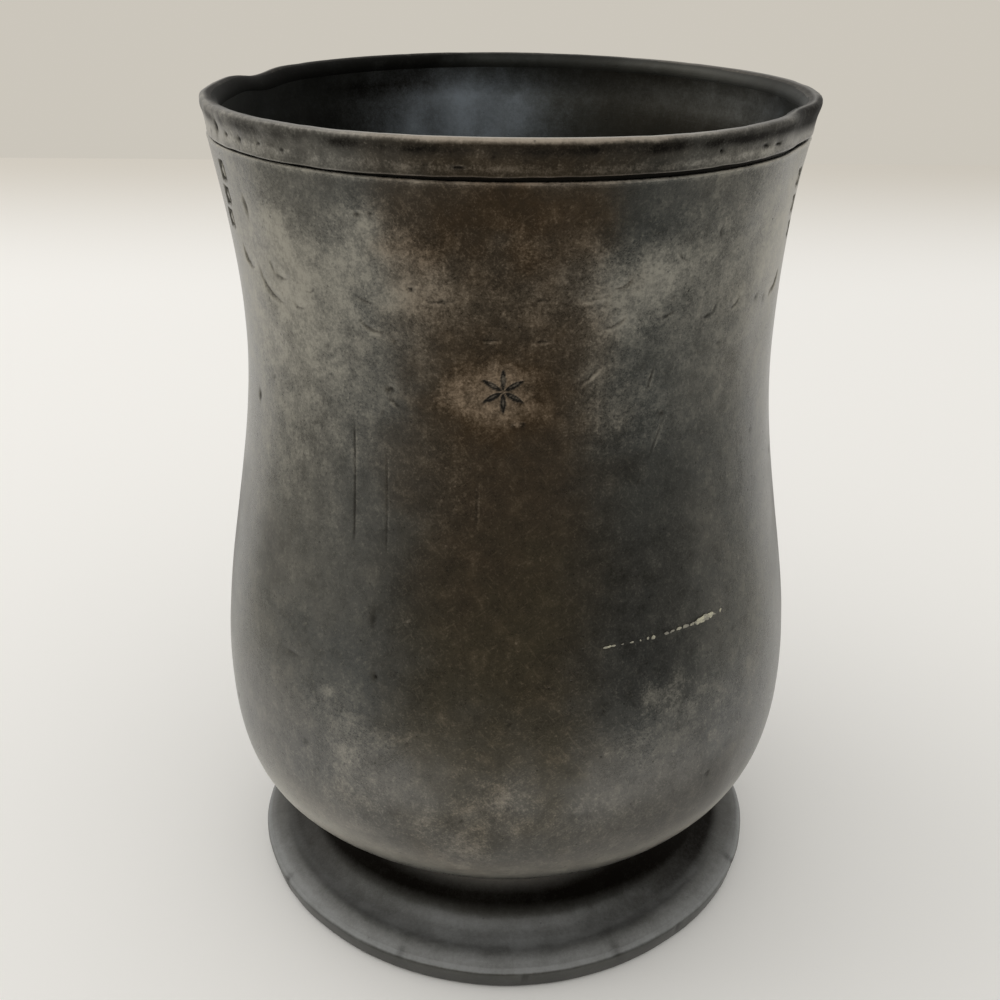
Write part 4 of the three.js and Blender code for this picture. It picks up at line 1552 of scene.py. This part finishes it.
@dataclass
class Foot:
    """The moulded foot, the base plate inside it and their solder."""

    curve: BodyCurve = field(default_factory=BodyCurve)
    radius: float = 42.45 * MM
    undercut: float = 0.45 * MM
    spread: float = 0.95 * MM
    neck_inner: float = 29.8 * MM
    wall: float = 2.2 * MM
    edge_height: float = 3.35 * MM
    rest_width: float = 3.4 * MM
    edge_round: float = 0.8 * MM
    brow_round: float = 0.7 * MM
    brow_turn: float = 65.0
    valley_radius: float = 38.5 * MM
    valley_height: float = 4.75 * MM
    hollow_top: float = 12.7 * MM
    flange_radius: float = 28.4 * MM
    flange_low: float = 10.8 * MM
    joint_gap: float = 0.3 * MM
    floor_wall: float = 1.8 * MM
    neck_lean: float = 0.45 * MM
    solder_low: float = 12.72 * MM
    solder_leg: float = 1.0 * MM
    groove_depth: float = 0.05 * MM
    groove_waver: float = 0.03 * MM
    shoulder_rows: int = 20
    plate_rows: int = 56
    plate_steps: int = 96
    steps: tuple[int, int] = (260, 130)
    solder_steps: tuple[int, int] = (160, 80)

    def build(self, finish: bpy.types.Material, solder: bpy.types.Material) -> None:
        """Builds and dresses the foot.

        Args:
            finish: The foot's and the base plate's finish.
            solder: The solder's finish.
        """
        self._ring(finish)
        self._plate(finish)
        self._fillets(solder)

    def _ring(self, finish: bpy.types.Material) -> None:
        """The foot itself: an upright edge, a rounded brow, a gentle slope and a deep hollow."""
        neck_outer = self.neck_inner + self.wall
        rest_inner = self.radius - self.rest_width
        lift, brow = self.edge_round, self.brow_round
        across, up = self.valley_radius - neck_outer, self.hollow_top - self.valley_height
        top = self.curve.under(neck_outer) - self.joint_gap
        profile = [
            (rest_inner, 0),
            *arc((self.radius - self.undercut - lift, lift), (lift, lift), -90, -10, 6),
            *arc((self.radius - brow, self.edge_height - brow), (brow, brow), 0, self.brow_turn, 8),
            *self._shoulder(),
            *arc((self.valley_radius, self.hollow_top), (across, up), 270, 180, 28)[1:],
            (neck_outer, top),
            (self.neck_inner, top - self.neck_lean),
            *arc((self.valley_radius, self.hollow_top), (across + self.wall, up + self.wall), 180, 270, 14),
            (rest_inner, self.valley_height - self.wall),
        ]
        least, marks = self.valley_radius, self._marks()
        skin = cast("foot_ring", profile, self.steps, lambda z: np.full(len(z), neck_outer), marks, least)
        self._age(skin)
        self._splay(skin)
        publish(skin, "foot_ring", finish)

    def _shoulder(self) -> Profile:
        """The foot's upper side, from its brow up to the hollow, where it runs level."""
        turn = math.radians(self.brow_turn)
        low_radius = self.radius - self.brow_round * (1 - math.cos(turn))
        low_height = self.edge_height - self.brow_round * (1 - math.sin(turn))
        points = []
        for row in range(1, self.shoulder_rows + 1):
            share = row / self.shoulder_rows
            rise = (self.valley_height - low_height) * math.sin(share * math.pi / 2)
            points.append((low_radius + (self.valley_radius - low_radius) * share, low_height + rise))
        return points

    def _splay(self, skin: Skin) -> None:
        """Spreads the foot a little at the front, where standing has pressed it out.

        Args:
            skin: The foot's points.
        """
        inner = self.neck_inner + self.wall
        reach = ramp(skin.radius, inner, self.valley_radius - inner)
        skin.shift[:, :2] += skin.outward * (self.spread * reach * skin.bell(2, 30))[:, None]

    def _age(self, skin: Skin) -> None:
        """Paints the foot's light and shade: a shadow in the hollow, shade on the sides and hidden faces,
        light on the slope's front, and highlights on the brow and the hollow's front, partly wear.

        Args:
            skin: The foot's points.
        """
        cloud = fractal(skin.points, 7 * MM)
        seen = skin.radius > self.neck_inner + self.wall - 0.1 * MM
        hollow = seen & (skin.radius < self.valley_radius)
        deep = ramp(skin.height, 6.2 * MM, 1.8 * MM)
        under = ramp(skin.height, 9.2 * MM, 2.8 * MM) * skin.bell(0, 60)
        # Painted shadow under the bowl, black down in the hollow and lighter and brown towards the bowl.
        skin.grime += np.where(hollow, deep * (0.9 - 0.72 * under), 0)
        skin.warm += np.where(hollow, 0.6 * under, 0)
        skin.haze += np.where(hollow, 0.35 * under, 0)
        # Painted shade on the hollow's sides, most on the right.
        away = np.where(hollow, 1 - ramp(skin.radius, 37.0 * MM, 1.4 * MM), 0)
        skin.grime += away * (0.4 * (1 - skin.bell(-4, 44)) + 0.35 * skin.bell(72, 34))
        slope = np.where(seen & (skin.height > self.edge_height), 1 - deep, 0)
        valley = ridge(skin.radius, 37.6 * MM, 1.5 * MM)
        outer = ridge(skin.radius, 40.9 * MM, 1.3 * MM)
        worn = 0.47 + 0.45 * valley + 0.3 * outer + 0.06 * cloud
        rim = ridge(skin.radius, 41.4 * MM, 0.65 * MM) * (1 - 0.45 * skin.bell(62, 32))
        front = skin.bell(0, 52)
        side = (1 - front) * (1 - 0.8 * skin.bell(-98, 36) - 0.8 * skin.bell(98, 36))
        # Painted light on the front of the slope and along its outer rim on the sides, painted shade on the
        # rest of the sides.
        skin.wear += slope * (worn * front + (0.1 + 0.55 * rim) * side)
        skin.grime += slope * 0.3 * (1 - skin.bell(0, 58)) * (1 - 0.7 * rim)
        # A painted highlight on the hollow's floor at the front.
        floor = ridge(skin.radius, 35.4 * MM, 0.9 * MM) * np.where(hollow, 1 - deep, 0)
        skin.wear += floor * (0.42 + 0.1 * cloud) * skin.bell(-3, 40)
        # A pale line along the brow: edge wear and a painted highlight.
        brow = ridge(skin.height, self.edge_height - 0.1 * MM, 0.25 * MM)
        skin.wear += np.where(skin.radius > self.radius - 0.8 * MM, brow * (0.95 + 0.2 * cloud), 0)
        # Painted shade on the faces hidden inside the foot.
        skin.grime += np.where(seen, 0, 0.3)

    def _marks(self) -> list[Mark]:
        """Dents and nicks of the foot."""
        # Angle in degrees, then height, size and depth in millimetres
        nicks = [
            (24.5, 3.7, 0.8, 0.35), (-22, 3.4, 0.6, 0.12), (41, 2.4, 0.6, 0.25), (-58, 3.0, 0.7, 0.25),
            (66, 3.4, 0.7, 0.25), (118, 3.0, 0.8, 0.4), (-140, 2.2, 0.8, 0.4),
        ]
        dents = [(angle, height, size, size, depth, 0.35) for angle, height, size, depth in nicks]
        return [
            Wobble(15 * MM, 0.12 * MM),
            Wobble(4 * MM, 0.04 * MM),
            *placed(Dent, dents),
            Pits(14, 0.5 * MM, 3.2 * MM, seed=11, width=0.34 * MM),
            *placed(RubAndHighlight, [(-62, 3, 18, 2, 0.5), (60, 3, 18, 2, 0.5)]),
        ]

    def _plate(self, finish: bpy.types.Material) -> None:
        """The base plate, with rings from the lathe on both faces."""
        spigot = self.curve.base_radius - 0.3 * MM
        flange_top = self.curve.base_height - self.joint_gap
        floor_height = self.curve.base_height + self.floor_wall
        profile = [
            *self._face(self.flange_radius, self.flange_low),
            (self.flange_radius, self.flange_low + 0.2 * MM),
            (self.flange_radius, flange_top),
            (spigot, flange_top),
            (spigot, floor_height - 0.1 * MM),
            *reversed(self._face(spigot, floor_height, 3)),
        ]
        mesh = turned(profile, self.plate_steps, self.plate_steps, closed=False)
        skin = Skin(as_data(mesh, "base_plate_cast"))
        skin.wear += 0.25 * np.clip(fractal(skin.points, 9 * MM) + 0.2, 0, 1)
        skin.grime += 0.35 * np.clip(skin.radius / self.flange_radius, 0, 1) ** 4
        publish(skin, "base_plate", finish)

    def _face(self, radius: float, height: float, lead: int = 0) -> Profile:
        """Points of a turned face from the axis outwards, with the grooves that the tool has left.

        Args:
            radius: The face's radius.
            height: Its height.
            lead: How many rows the grooves are ahead.

        Returns:
            The points.
        """
        points = []
        for row in range(self.plate_rows):
            turn = row + lead
            low = height - self.groove_depth * (turn % 4 == 2)
            low -= self.groove_waver * math.sin(turn * 0.9) ** 2
            points.append((radius * row / self.plate_rows, low))
        return points

    def _fillets(self, solder: bpy.types.Material) -> None:
        """The fillets of solder over the foot's neck and round the base plate's flange."""
        neck = self.neck_inner + self.wall
        for node, root, low in (
            ("foot_solder", neck + 0.05 * MM, self.solder_low),
            ("base_solder", self.flange_radius + 0.1 * MM, self.flange_low + 0.15 * MM),
        ):
            profile = [(root, low), *self._under_bowl(root + self.solder_leg, root)]
            skin = cast(node, profile, self.solder_steps)
            skin.depth += 0.06 * MM * np.clip(fractal(skin.points, 2.2 * MM), 0, 1)
            skin.grime += 0.8
            publish(skin, node, solder)

    def _under_bowl(self, far: float, near: float) -> Profile:
        """Points close under the bowl between two radii."""
        radii = np.linspace(far, near, 5).tolist()
        return [(radius, self.curve.under(radius) - 0.1 * MM) for radius in radii]


# The handle


@dataclass
class Handle:
    """The hollow-cast grip with its terminal and strut, soldered to the body."""

    curve: BodyCurve = field(default_factory=BodyCurve)
    top_joint: float = 112.0 * MM
    low_joint: float = 47.7 * MM
    reach: float = 28.8 * MM
    rise_angle: float = 22.0
    top_width: float = 14.0 * MM
    top_depth: float = 9.0 * MM
    tail_diameter: float = 7.6 * MM
    flatness: float = 0.55
    strut_length: float = 5.0 * MM
    strut_width: float = 7.6 * MM
    strut_height: float = 6.4 * MM
    strut_flare: float = 1.3 * MM
    tail_out: float = 6.0 * MM
    tail_drop: float = 11.0 * MM
    tail_straight: float = 3.8 * MM
    terminal_radius: float = 5.4 * MM
    terminal_neck: float = 3.1 * MM
    solder_leg: float = 1.1 * MM
    furthest_share: float = 0.33
    arch_pull: float = 0.6
    side_pull: float = 0.25
    tail_pull: float = 0.5
    tail_level: float = 0.12
    knot_points: int = 60
    nudge: float = 0.3 * MM
    grip_start: float = -2.0 * MM
    seat_gap: float = 0.03 * MM
    seat_share: float = 0.06
    collar_length: float = 1.8 * MM
    strut_lap: float = 1.2 * MM
    strut_gap: float = 0.05 * MM
    solder_lift: float = 0.06 * MM
    grip_faces: tuple[int, int] = (56, 240)
    strut_faces: tuple[int, int] = (40, 24)
    top_fillet_faces: tuple[int, int] = (56, 8)
    strut_fillet_faces: tuple[int, int] = (48, 8)
    terminal_steps: int = 40

    def __post_init__(self) -> None:
        """Works out the middle line and the length along it."""
        self.line = self._middle_line()
        gaps = np.linalg.norm(np.diff(self.line, axis=0), axis=1)
        self.run = np.concatenate([[0.0], np.cumsum(gaps)])

    def build(
        self, finish: bpy.types.Material, worn: bpy.types.Material, solder: bpy.types.Material
    ) -> None:
        """Builds and dresses the handle.

        Args:
            finish: The grip's and the strut's finish.
            worn: The terminal's finish.
            solder: The solder's finish.
        """
        self._grip(finish)
        self._terminal(worn)
        self._strut(finish)
        self._top_fillet(solder)
        self._strut_fillet(solder)

    def _radius(self, height: float) -> float:
        """The body's radius at a height."""
        return float(self.curve.radius(np.array(height)))

    def _middle_line(self) -> np.ndarray:
        """Points of the grip's middle line in the plane x = 0, from the neck to the tail.

        Returns:
            Rows of y and z, from the body's axis.
        """
        rise = math.radians(self.rise_angle)
        start = Vector((0, self._radius(self.top_joint), self.top_joint))
        low_y = self._radius(self.low_joint) + self.strut_length + self.tail_diameter / 2
        low = Vector((0, low_y, self.low_joint))
        drop = self.top_joint - self.low_joint
        furthest_height = self.top_joint - drop * self.furthest_share
        furthest = Vector((0, self.curve.belly_radius + self.reach, furthest_height))
        tail = low + Vector((0, self.tail_out, -self.tail_drop))
        lead = (furthest.y - start.y) * self.arch_pull
        down = Vector((0, 0, drop * self.side_pull))
        knots = [
            (start, start + lead * Vector((0, math.cos(rise), math.sin(rise))), furthest + down, furthest),
            (furthest, furthest - down, low + down, low),
            (
                low,
                low - Vector((0, 0, self.tail_drop * self.tail_pull)),
                tail + Vector((0, -self.tail_out * self.tail_pull, self.tail_drop * self.tail_level)),
                tail,
            ),
        ]
        points = [p for knot in knots for p in interpolate_bezier(*knot, self.knot_points)[:-1]]
        points.append(tail)
        return np.array([(p.y, p.z) for p in points])

    def _at(self, distance: np.ndarray) -> tuple[np.ndarray, np.ndarray]:
        """Places and directions along the middle line, which runs straight on past its ends.

        Args:
            distance: Distances along the line.

        Returns:
            Rows of y and z of the places, and of the directions.
        """

        def read(at: np.ndarray) -> np.ndarray:
            """Places on the line, held at its ends."""
            return np.stack([np.interp(at, self.run, values) for values in self.line.T], axis=1)

        held = np.clip(distance, 0, self.run[-1])
        step = read(held + self.nudge) - read(held - self.nudge)
        along = step / np.linalg.norm(step, axis=1)[:, None]
        return read(held) + along * (distance - held)[:, None], along

    def _bend(
        self, points: np.ndarray, start: float, end: float, grow: np.ndarray | float = 0.0
    ) -> np.ndarray:
        """Bends a tube of radius 1 along Z into the grip: a D that turns round towards the tail.

        Args:
            points: The tube's points, with Z from 0 to 1.
            start: Distance along the middle line at Z = 0.
            end: Distance at Z = 1.
            grow: How far the section stands outside the grip's.

        Returns:
            The bent points.
        """
        distance = start + (end - start) * points[:, 2]
        place, along = self._at(distance)
        share = np.clip(distance / self.run[-1], 0, 1)
        half_width = (self.top_width + (self.tail_diameter - self.top_width) * share) / 2 + grow
        half_depth = (self.top_depth + (self.tail_diameter - self.top_depth) * share) / 2 + grow
        flatness = self.flatness + (1 - self.flatness) * share
        inner = -np.abs(np.minimum(points[:, 1], 0)) ** flatness
        depth = np.where(points[:, 1] < -1e-6, inner, points[:, 1]) * half_depth
        outward = np.stack([-along[:, 1], along[:, 0]], axis=1)
        flat = place + outward * depth[:, None]
        return np.column_stack([points[:, 0] * half_width, flat])

    def _bent(
        self, faces: tuple[int, int], bend: Callable[[np.ndarray], np.ndarray]
    ) -> bmesh.types.BMesh:
        """Makes a straight tube and brings it to its bent place.

        Args:
            faces: How many faces it has round it and along it.
            bend: Gives the bent points for the straight ones.

        Returns:
            The tube.
        """
        mesh = tube(*faces)
        straight = np.array([vert.co for vert in mesh.verts])
        for vert, place in zip(mesh.verts, bend(straight)):
            vert.co = place
        bmesh.ops.recalc_face_normals(mesh, faces=mesh.faces)
        return mesh

    def _dressed(self, mesh: bmesh.types.BMesh, node: str, wear: float = 0.0, grime: float = 0.0) -> Skin:
        """Gives a piece of the handle its wear, grime and unevenness.

        Args:
            mesh: The piece's mesh.
            node: The CAD node that it replaces.
            wear: How much it is rubbed by the hand.
            grime: How much grime lies on it.

        Returns:
            The piece's skin.
        """
        skin = Skin(as_data(mesh, f"{node}_cast"))
        skin.press([Wobble(11 * MM, 0.10 * MM), Wobble(3 * MM, 0.03 * MM)])
        skin.wear += wear * np.clip(fractal(skin.points, 12 * MM) + 0.55, 0, 1.2)
        skin.grime += grime
        return skin

    def _grip(self, finish: bpy.types.Material) -> None:
        """The grip, from inside the neck's wall to the terminal."""
        end = self.run[-1] + self.tail_straight

        def bend(points: np.ndarray) -> np.ndarray:
            """Bends the tube and seats its upper end on the neck."""
            bent = self._bend(points, self.grip_start, end)
            neck = np.sqrt(np.clip(self.curve.radius(bent[:, 2]) ** 2 - bent[:, 0] ** 2, 0, None))
            seated = np.maximum(bent[:, 1], neck + self.seat_gap)
            bent[:, 1] = np.where(points[:, 2] < self.seat_share, seated, bent[:, 1])
            return bent

        skin = self._dressed(self._bent(self.grip_faces, bend), "handle_grip", wear=0.5)
        publish(skin, "handle_grip", finish)

    def _terminal(self, worn: bpy.types.Material) -> None:
        """The turned ball and collar at the grip's lower end."""
        collar = self.tail_diameter / 2 + 0.05 * MM
        start = math.degrees(math.asin(self.terminal_neck / self.terminal_radius)) - 90
        centre = self.collar_length - self.terminal_radius * math.sin(math.radians(start))
        profile = [
            (0.0, 0.0),
            (collar - 0.2 * MM, 0.0),
            *arc((collar - 0.3 * MM, 0.9 * MM), (0.35 * MM, 0.7 * MM), -90, 90, 8),
            *arc((0.0, centre), (self.terminal_radius,) * 2, start, 90, 26)[:-1],
            (0.0, centre + self.terminal_radius),
        ]
        mesh = turned(profile, self.terminal_steps, self.terminal_steps, closed=False)
        place, along = self._at(np.array([self.run[-1] + self.tail_straight]))
        heading = Vector((0, *along[0]))
        turn = Vector((0, 0, 1)).rotation_difference(heading).to_matrix().to_4x4()
        bmesh.ops.transform(mesh, matrix=Matrix.Translation((0, *place[0])) @ turn, verts=mesh.verts)
        publish(self._dressed(mesh, "handle_terminal", wear=0.5), "handle_terminal", worn)

    def _strut(self, finish: bpy.types.Material) -> None:
        """The short strut between the belly and the grip, flared at the belly."""
        inner = self._radius(self.low_joint)

        def bend(points: np.ndarray) -> np.ndarray:
            """Sets the tube level and spreads its inner end."""
            flare = self.strut_flare * np.clip(1 - points[:, 2] * 2, 0, 1) ** 2
            x = points[:, 0] * (self.strut_width / 2 + flare)
            z = self.low_joint + points[:, 1] * (self.strut_height / 2 + flare)
            skin_y = np.sqrt(self.curve.radius(z) ** 2 - x**2)
            level = inner + points[:, 2] * (self.strut_length + self.strut_lap)
            y = np.where(points[:, 2] < 0.02, skin_y + self.strut_gap, level)
            return np.column_stack([x, y, z])

        skin = self._dressed(self._bent(self.strut_faces, bend), "handle_strut", wear=0.25, grime=0.15)
        publish(skin, "handle_strut", finish)

    def _top_fillet(self, solder: bpy.types.Material) -> None:
        """The fillet of solder round the grip's upper end."""

        def bend(points: np.ndarray) -> np.ndarray:
            """Sweeps a hollow fillet from the neck up on to the grip."""
            sweep = points[:, 2] * math.pi / 2
            off = self.solder_leg * (1 - np.sin(sweep)) + self.solder_lift
            level = points * (1, 1, 0)
            ring = self._bend(level, 0.0, 0.0, off)
            ring[:, 1] = np.sqrt(self.curve.radius(ring[:, 2]) ** 2 - ring[:, 0] ** 2)
            advance = 2 * self.solder_leg * (1 - np.cos(sweep))
            rise = math.radians(self.rise_angle)
            ring[:, 1] += advance * math.cos(rise)
            ring[:, 2] += advance * math.sin(rise)
            return ring

        skin = self._dressed(self._bent(self.top_fillet_faces, bend), "handle_top_solder", grime=0.45)
        publish(skin, "handle_top_solder", solder)

    def _strut_fillet(self, solder: bpy.types.Material) -> None:
        """The fillet of solder round the strut's inner end."""

        def bend(points: np.ndarray) -> np.ndarray:
            """Sweeps a hollow fillet from the belly on to the strut."""
            sweep = points[:, 2] * math.pi / 2
            off = self.strut_flare + self.solder_leg * (1 - np.sin(sweep)) + self.solder_lift
            x = points[:, 0] * (self.strut_width / 2 + off)
            z = self.low_joint + points[:, 1] * (self.strut_height / 2 + off)
            y = np.sqrt(self.curve.radius(z) ** 2 - x**2) + self.solder_leg * (1 - np.cos(sweep))
            return np.column_stack([x, y, z])

        skin = self._dressed(self._bent(self.strut_fillet_faces, bend), "handle_strut_solder", grime=0.45)
        publish(skin, "handle_strut_solder", solder)


# The studio


@dataclass(frozen=True)
class Studio:
    """A plain room: a pale floor and wall, a soft lamp on the left, a dim glowing card that paints the
    metal's reflections, and the camera.
    """

    wall: Colour = grey(0.60, 0.565, 0.50)
    sky: Colour = grey(0.83, 0.81, 0.77)
    cloth: Colour = grey(0.93, 0.93, 0.925)
    far_cloth: Colour = grey(0.68, 0.65, 0.60)
    floor_half: float = 1.1
    floor_back: float = 0.62
    floor_front: float = 0.9
    fade_start: float = 0.30
    cloth_roughness: float = 0.95
    lamp_place: tuple[float, float, float] = (-0.75, 0.22, 0.80)
    lamp_aim: tuple[float, float, float] = (0.0, 0.0, 60 * MM)
    lamp_colour: tuple[float, float, float] = (1.0, 0.97, 0.93)
    lamp_side: float = 0.9
    lamp_power: float = 2.0
    card_inner: float = 0.125
    card_radius: float = 0.5
    card_height: float = 0.6
    card_lift: float = 1.0 * MM
    card_half_angle: float = 110.0
    card_steps: int = 88
    glow_run: tuple[float, float] = (0.13, 0.30)
    near_glow: Colour = grey(1.4, 1.4, 1.4)
    far_glow: Colour = grey(1.0, 1.0, 1.0)
    camera_distance: float = 0.1909
    camera_height: float = 0.1523
    camera_pitch: float = 25.23
    camera_roll: float = 0.435
    camera_clip: float = 0.01
    sensor_width: float = 36.0
    focal_length_pixels: float = 1300.0
    axis_right_of_middle_pixels: float = 6.75

    def build(self) -> None:
        """Builds the room and sets the view."""
        self._world()
        self._floor()
        self._card()
        self._lamp()
        self._camera()
        bpy.context.scene.view_settings.view_transform = "Standard"

    def _world(self) -> None:
        """An even pale room, a little darker where the camera looks straight at its wall."""
        world = bpy.data.worlds.new("room")
        bpy.context.scene.world = world
        graph = Graph(world)
        straight = graph.add("ShaderNodeLightPath", output="Is Camera Ray")
        shade = graph.mix(straight, self.sky, self.wall)
        room = graph.add("ShaderNodeBackground", {}, {"Color": shade, "Strength": 1.0})
        graph.node("ShaderNodeOutputWorld", {}, {"Surface": room})

    def _stage_object(
        self, mesh: bmesh.types.BMesh, name: str, material: bpy.types.Material
    ) -> bpy.types.Object:
        """Makes a mesh a part of the room.

        Args:
            mesh: The mesh, about the Z axis.
            name: The object's name.
            material: Its material.

        Returns:
            The object.
        """
        data = as_data(mesh, name)
        data.transform(Matrix.Translation(AXIS))
        data.materials.append(material)
        made = bpy.data.objects.new(name, data)
        bpy.context.scene.collection.objects.link(made)
        return made

    def _floor(self) -> None:
        """A table top under a pale cloth, which turns to the wall's shade at its far edge."""
        cloth = bpy.data.materials.new("pale cloth")
        graph = Graph(cloth)
        place = graph.add("ShaderNodeTexCoord", output="Object")
        back = graph.add("ShaderNodeSeparateXYZ", {}, {"Vector": place}, "Y")
        shade = graph.mix(graph.step(back, self.fade_start, self.floor_back), self.cloth, self.far_cloth)
        inputs = {"Base Color": shade, "Roughness": self.cloth_roughness, "Specular IOR Level": 0.0}
        shader = graph.add("ShaderNodeBsdfPrincipled", {}, inputs)
        graph.node("ShaderNodeOutputMaterial", {}, {"Surface": shader})
        mesh = bmesh.new()
        middle = Matrix.Translation((0, (self.floor_back - self.floor_front) / 2, 0))
        size = Matrix.Diagonal((self.floor_half, (self.floor_back + self.floor_front) / 2, 1, 1))
        bmesh.ops.create_grid(mesh, x_segments=1, y_segments=1, size=1, matrix=middle @ size)
        self._stage_object(mesh, "floor", cloth)

    def _card(self) -> None:
        """A dim glowing card before the mug, no lamp, which shows only in what the metal mirrors: its
        shades paint reflections on the metal.
        """
        dim = bpy.data.materials.new("dim card")
        graph = Graph(dim)
        place = graph.add("ShaderNodeTexCoord", output="Object")
        offset = {"operation": "SUBTRACT"}
        centred = graph.add("ShaderNodeVectorMath", offset, {0: place, 1: AXIS})
        parts = graph.node("ShaderNodeSeparateXYZ", {}, {"Vector": centred})
        right, back = Value(graph, parts.outputs["X"]), Value(graph, parts.outputs["Y"])
        turn = right.math("ARCTAN2", right, 0 - back) * (0.5 / math.radians(self.card_half_angle)) + 0.5
        shade = graph.add("ShaderNodeValToRGB", {"stops": self._shades()}, {"Fac": turn})
        level = graph.stretch(centred, (1, 1, 0))
        run = graph.add("ShaderNodeVectorMath", {"operation": "LENGTH"}, {0: level}, "Value")
        lift = graph.mix(graph.step(run, *self.glow_run), self.near_glow, self.far_glow)
        times = {"data_type": "RGBA", "blend_type": "MULTIPLY"}
        shade = graph.add("ShaderNodeMix", times, {0: 1.0, 6: shade, 7: lift}, 2)
        glow = graph.add("ShaderNodeEmission", {}, {"Color": shade, "Strength": 1.0})
        graph.node("ShaderNodeOutputMaterial", {}, {"Surface": glow})
        mesh = bmesh.new()
        low, far = self.card_lift, self.card_radius
        profile = [(self.card_inner, low), (far, low), (far, self.card_height)]
        points = [mesh.verts.new((0, -radius, height)) for radius, height in profile]
        edges = [mesh.edges.new(pair) for pair in zip(points, points[1:])]
        half = math.radians(self.card_half_angle)
        bmesh.ops.transform(mesh, matrix=Matrix.Rotation(-half, 4, "Z"), verts=mesh.verts)
        sweep = {"axis": (0, 0, 1), "angle": 2 * half, "steps": self.card_steps}
        bmesh.ops.spin(mesh, geom=[*points, *edges], cent=(0, 0, 0), **sweep)
        card = self._stage_object(mesh, "dim_card", dim)
        card.visible_camera = False
        card.visible_diffuse = False
        card.visible_shadow = False

    def _shades(self) -> list[tuple[float, Colour]]:
        """The card's shades from left to right, painted reflections: dim in the middle and paler at the
        ends.
        """
        half = self.card_half_angle
        shades = [
            (-110, grey(0.50, 0.48, 0.42)),
            (-85, grey(0.42, 0.405, 0.36)),
            (-55, grey(0.37, 0.37, 0.345)),
            (-38, grey(0.25, 0.24, 0.21)),
            (-28, grey(0.20, 0.18, 0.14)),
            (28, grey(0.185, 0.165, 0.13)),
            (40, grey(0.16, 0.165, 0.15)),
            (60, grey(0.18, 0.19, 0.18)),
            (85, grey(0.36, 0.35, 0.315)),
            (110, grey(0.50, 0.48, 0.425)),
        ]
        return [((turn + half) / (2 * half), shade) for turn, shade in shades]

    def _lamp(self) -> None:
        """A large soft lamp on the left, a little behind the mug."""
        data = bpy.data.lights.new("soft_lamp", "AREA")
        data.size = self.lamp_side
        data.energy = self.lamp_power
        data.color = self.lamp_colour
        lamp = bpy.data.objects.new("soft_lamp", data)
        lamp.location = AXIS + Vector(self.lamp_place)
        towards = AXIS + Vector(self.lamp_aim) - lamp.location
        lamp.rotation_euler = towards.to_track_quat("-Z", "Y").to_euler()
        bpy.context.scene.collection.objects.link(lamp)

    def _camera(self) -> None:
        """The photograph's camera, before the mug and looking down on it."""
        data = bpy.data.cameras.new("camera")
        data.sensor_width = self.sensor_width
        data.lens = data.sensor_width * self.focal_length_pixels / IMAGE_SIDE
        data.shift_x = -self.axis_right_of_middle_pixels / IMAGE_SIDE
        data.clip_start = self.camera_clip
        camera = bpy.data.objects.new("camera", data)
        tip = Matrix.Rotation(math.radians(90 - self.camera_pitch), 4, "X")
        roll = Matrix.Rotation(math.radians(self.camera_roll), 4, "Z")
        stand = AXIS + Vector((0, -self.camera_distance, self.camera_height))
        camera.matrix_world = Matrix.Translation(stand) @ tip @ roll
        bpy.context.scene.collection.objects.link(camera)
        bpy.context.scene.camera = camera


def main() -> None:
    """Builds the mug and its room."""
    logging.basicConfig(level=logging.INFO, format="%(relativeCreated)d ms %(name)s: %(message)s")
    Studio().build()
    aged, worn, dark = AGED_PEWTER.material(), WORN_PEWTER.material(), SHADED_DARK_PEWTER.material()
    inside, solder, filler = INSIDE_SHADED_PEWTER.material(), JOINT_SOLDER.material(), OLD_FILLER.material()
    Body().build(aged, inside, filler)
    Lip().build(worn, inside, solder)
    Foot().build(dark, solder)
    Handle().build(aged, worn, solder)


if __name__ == "__main__":
    main()
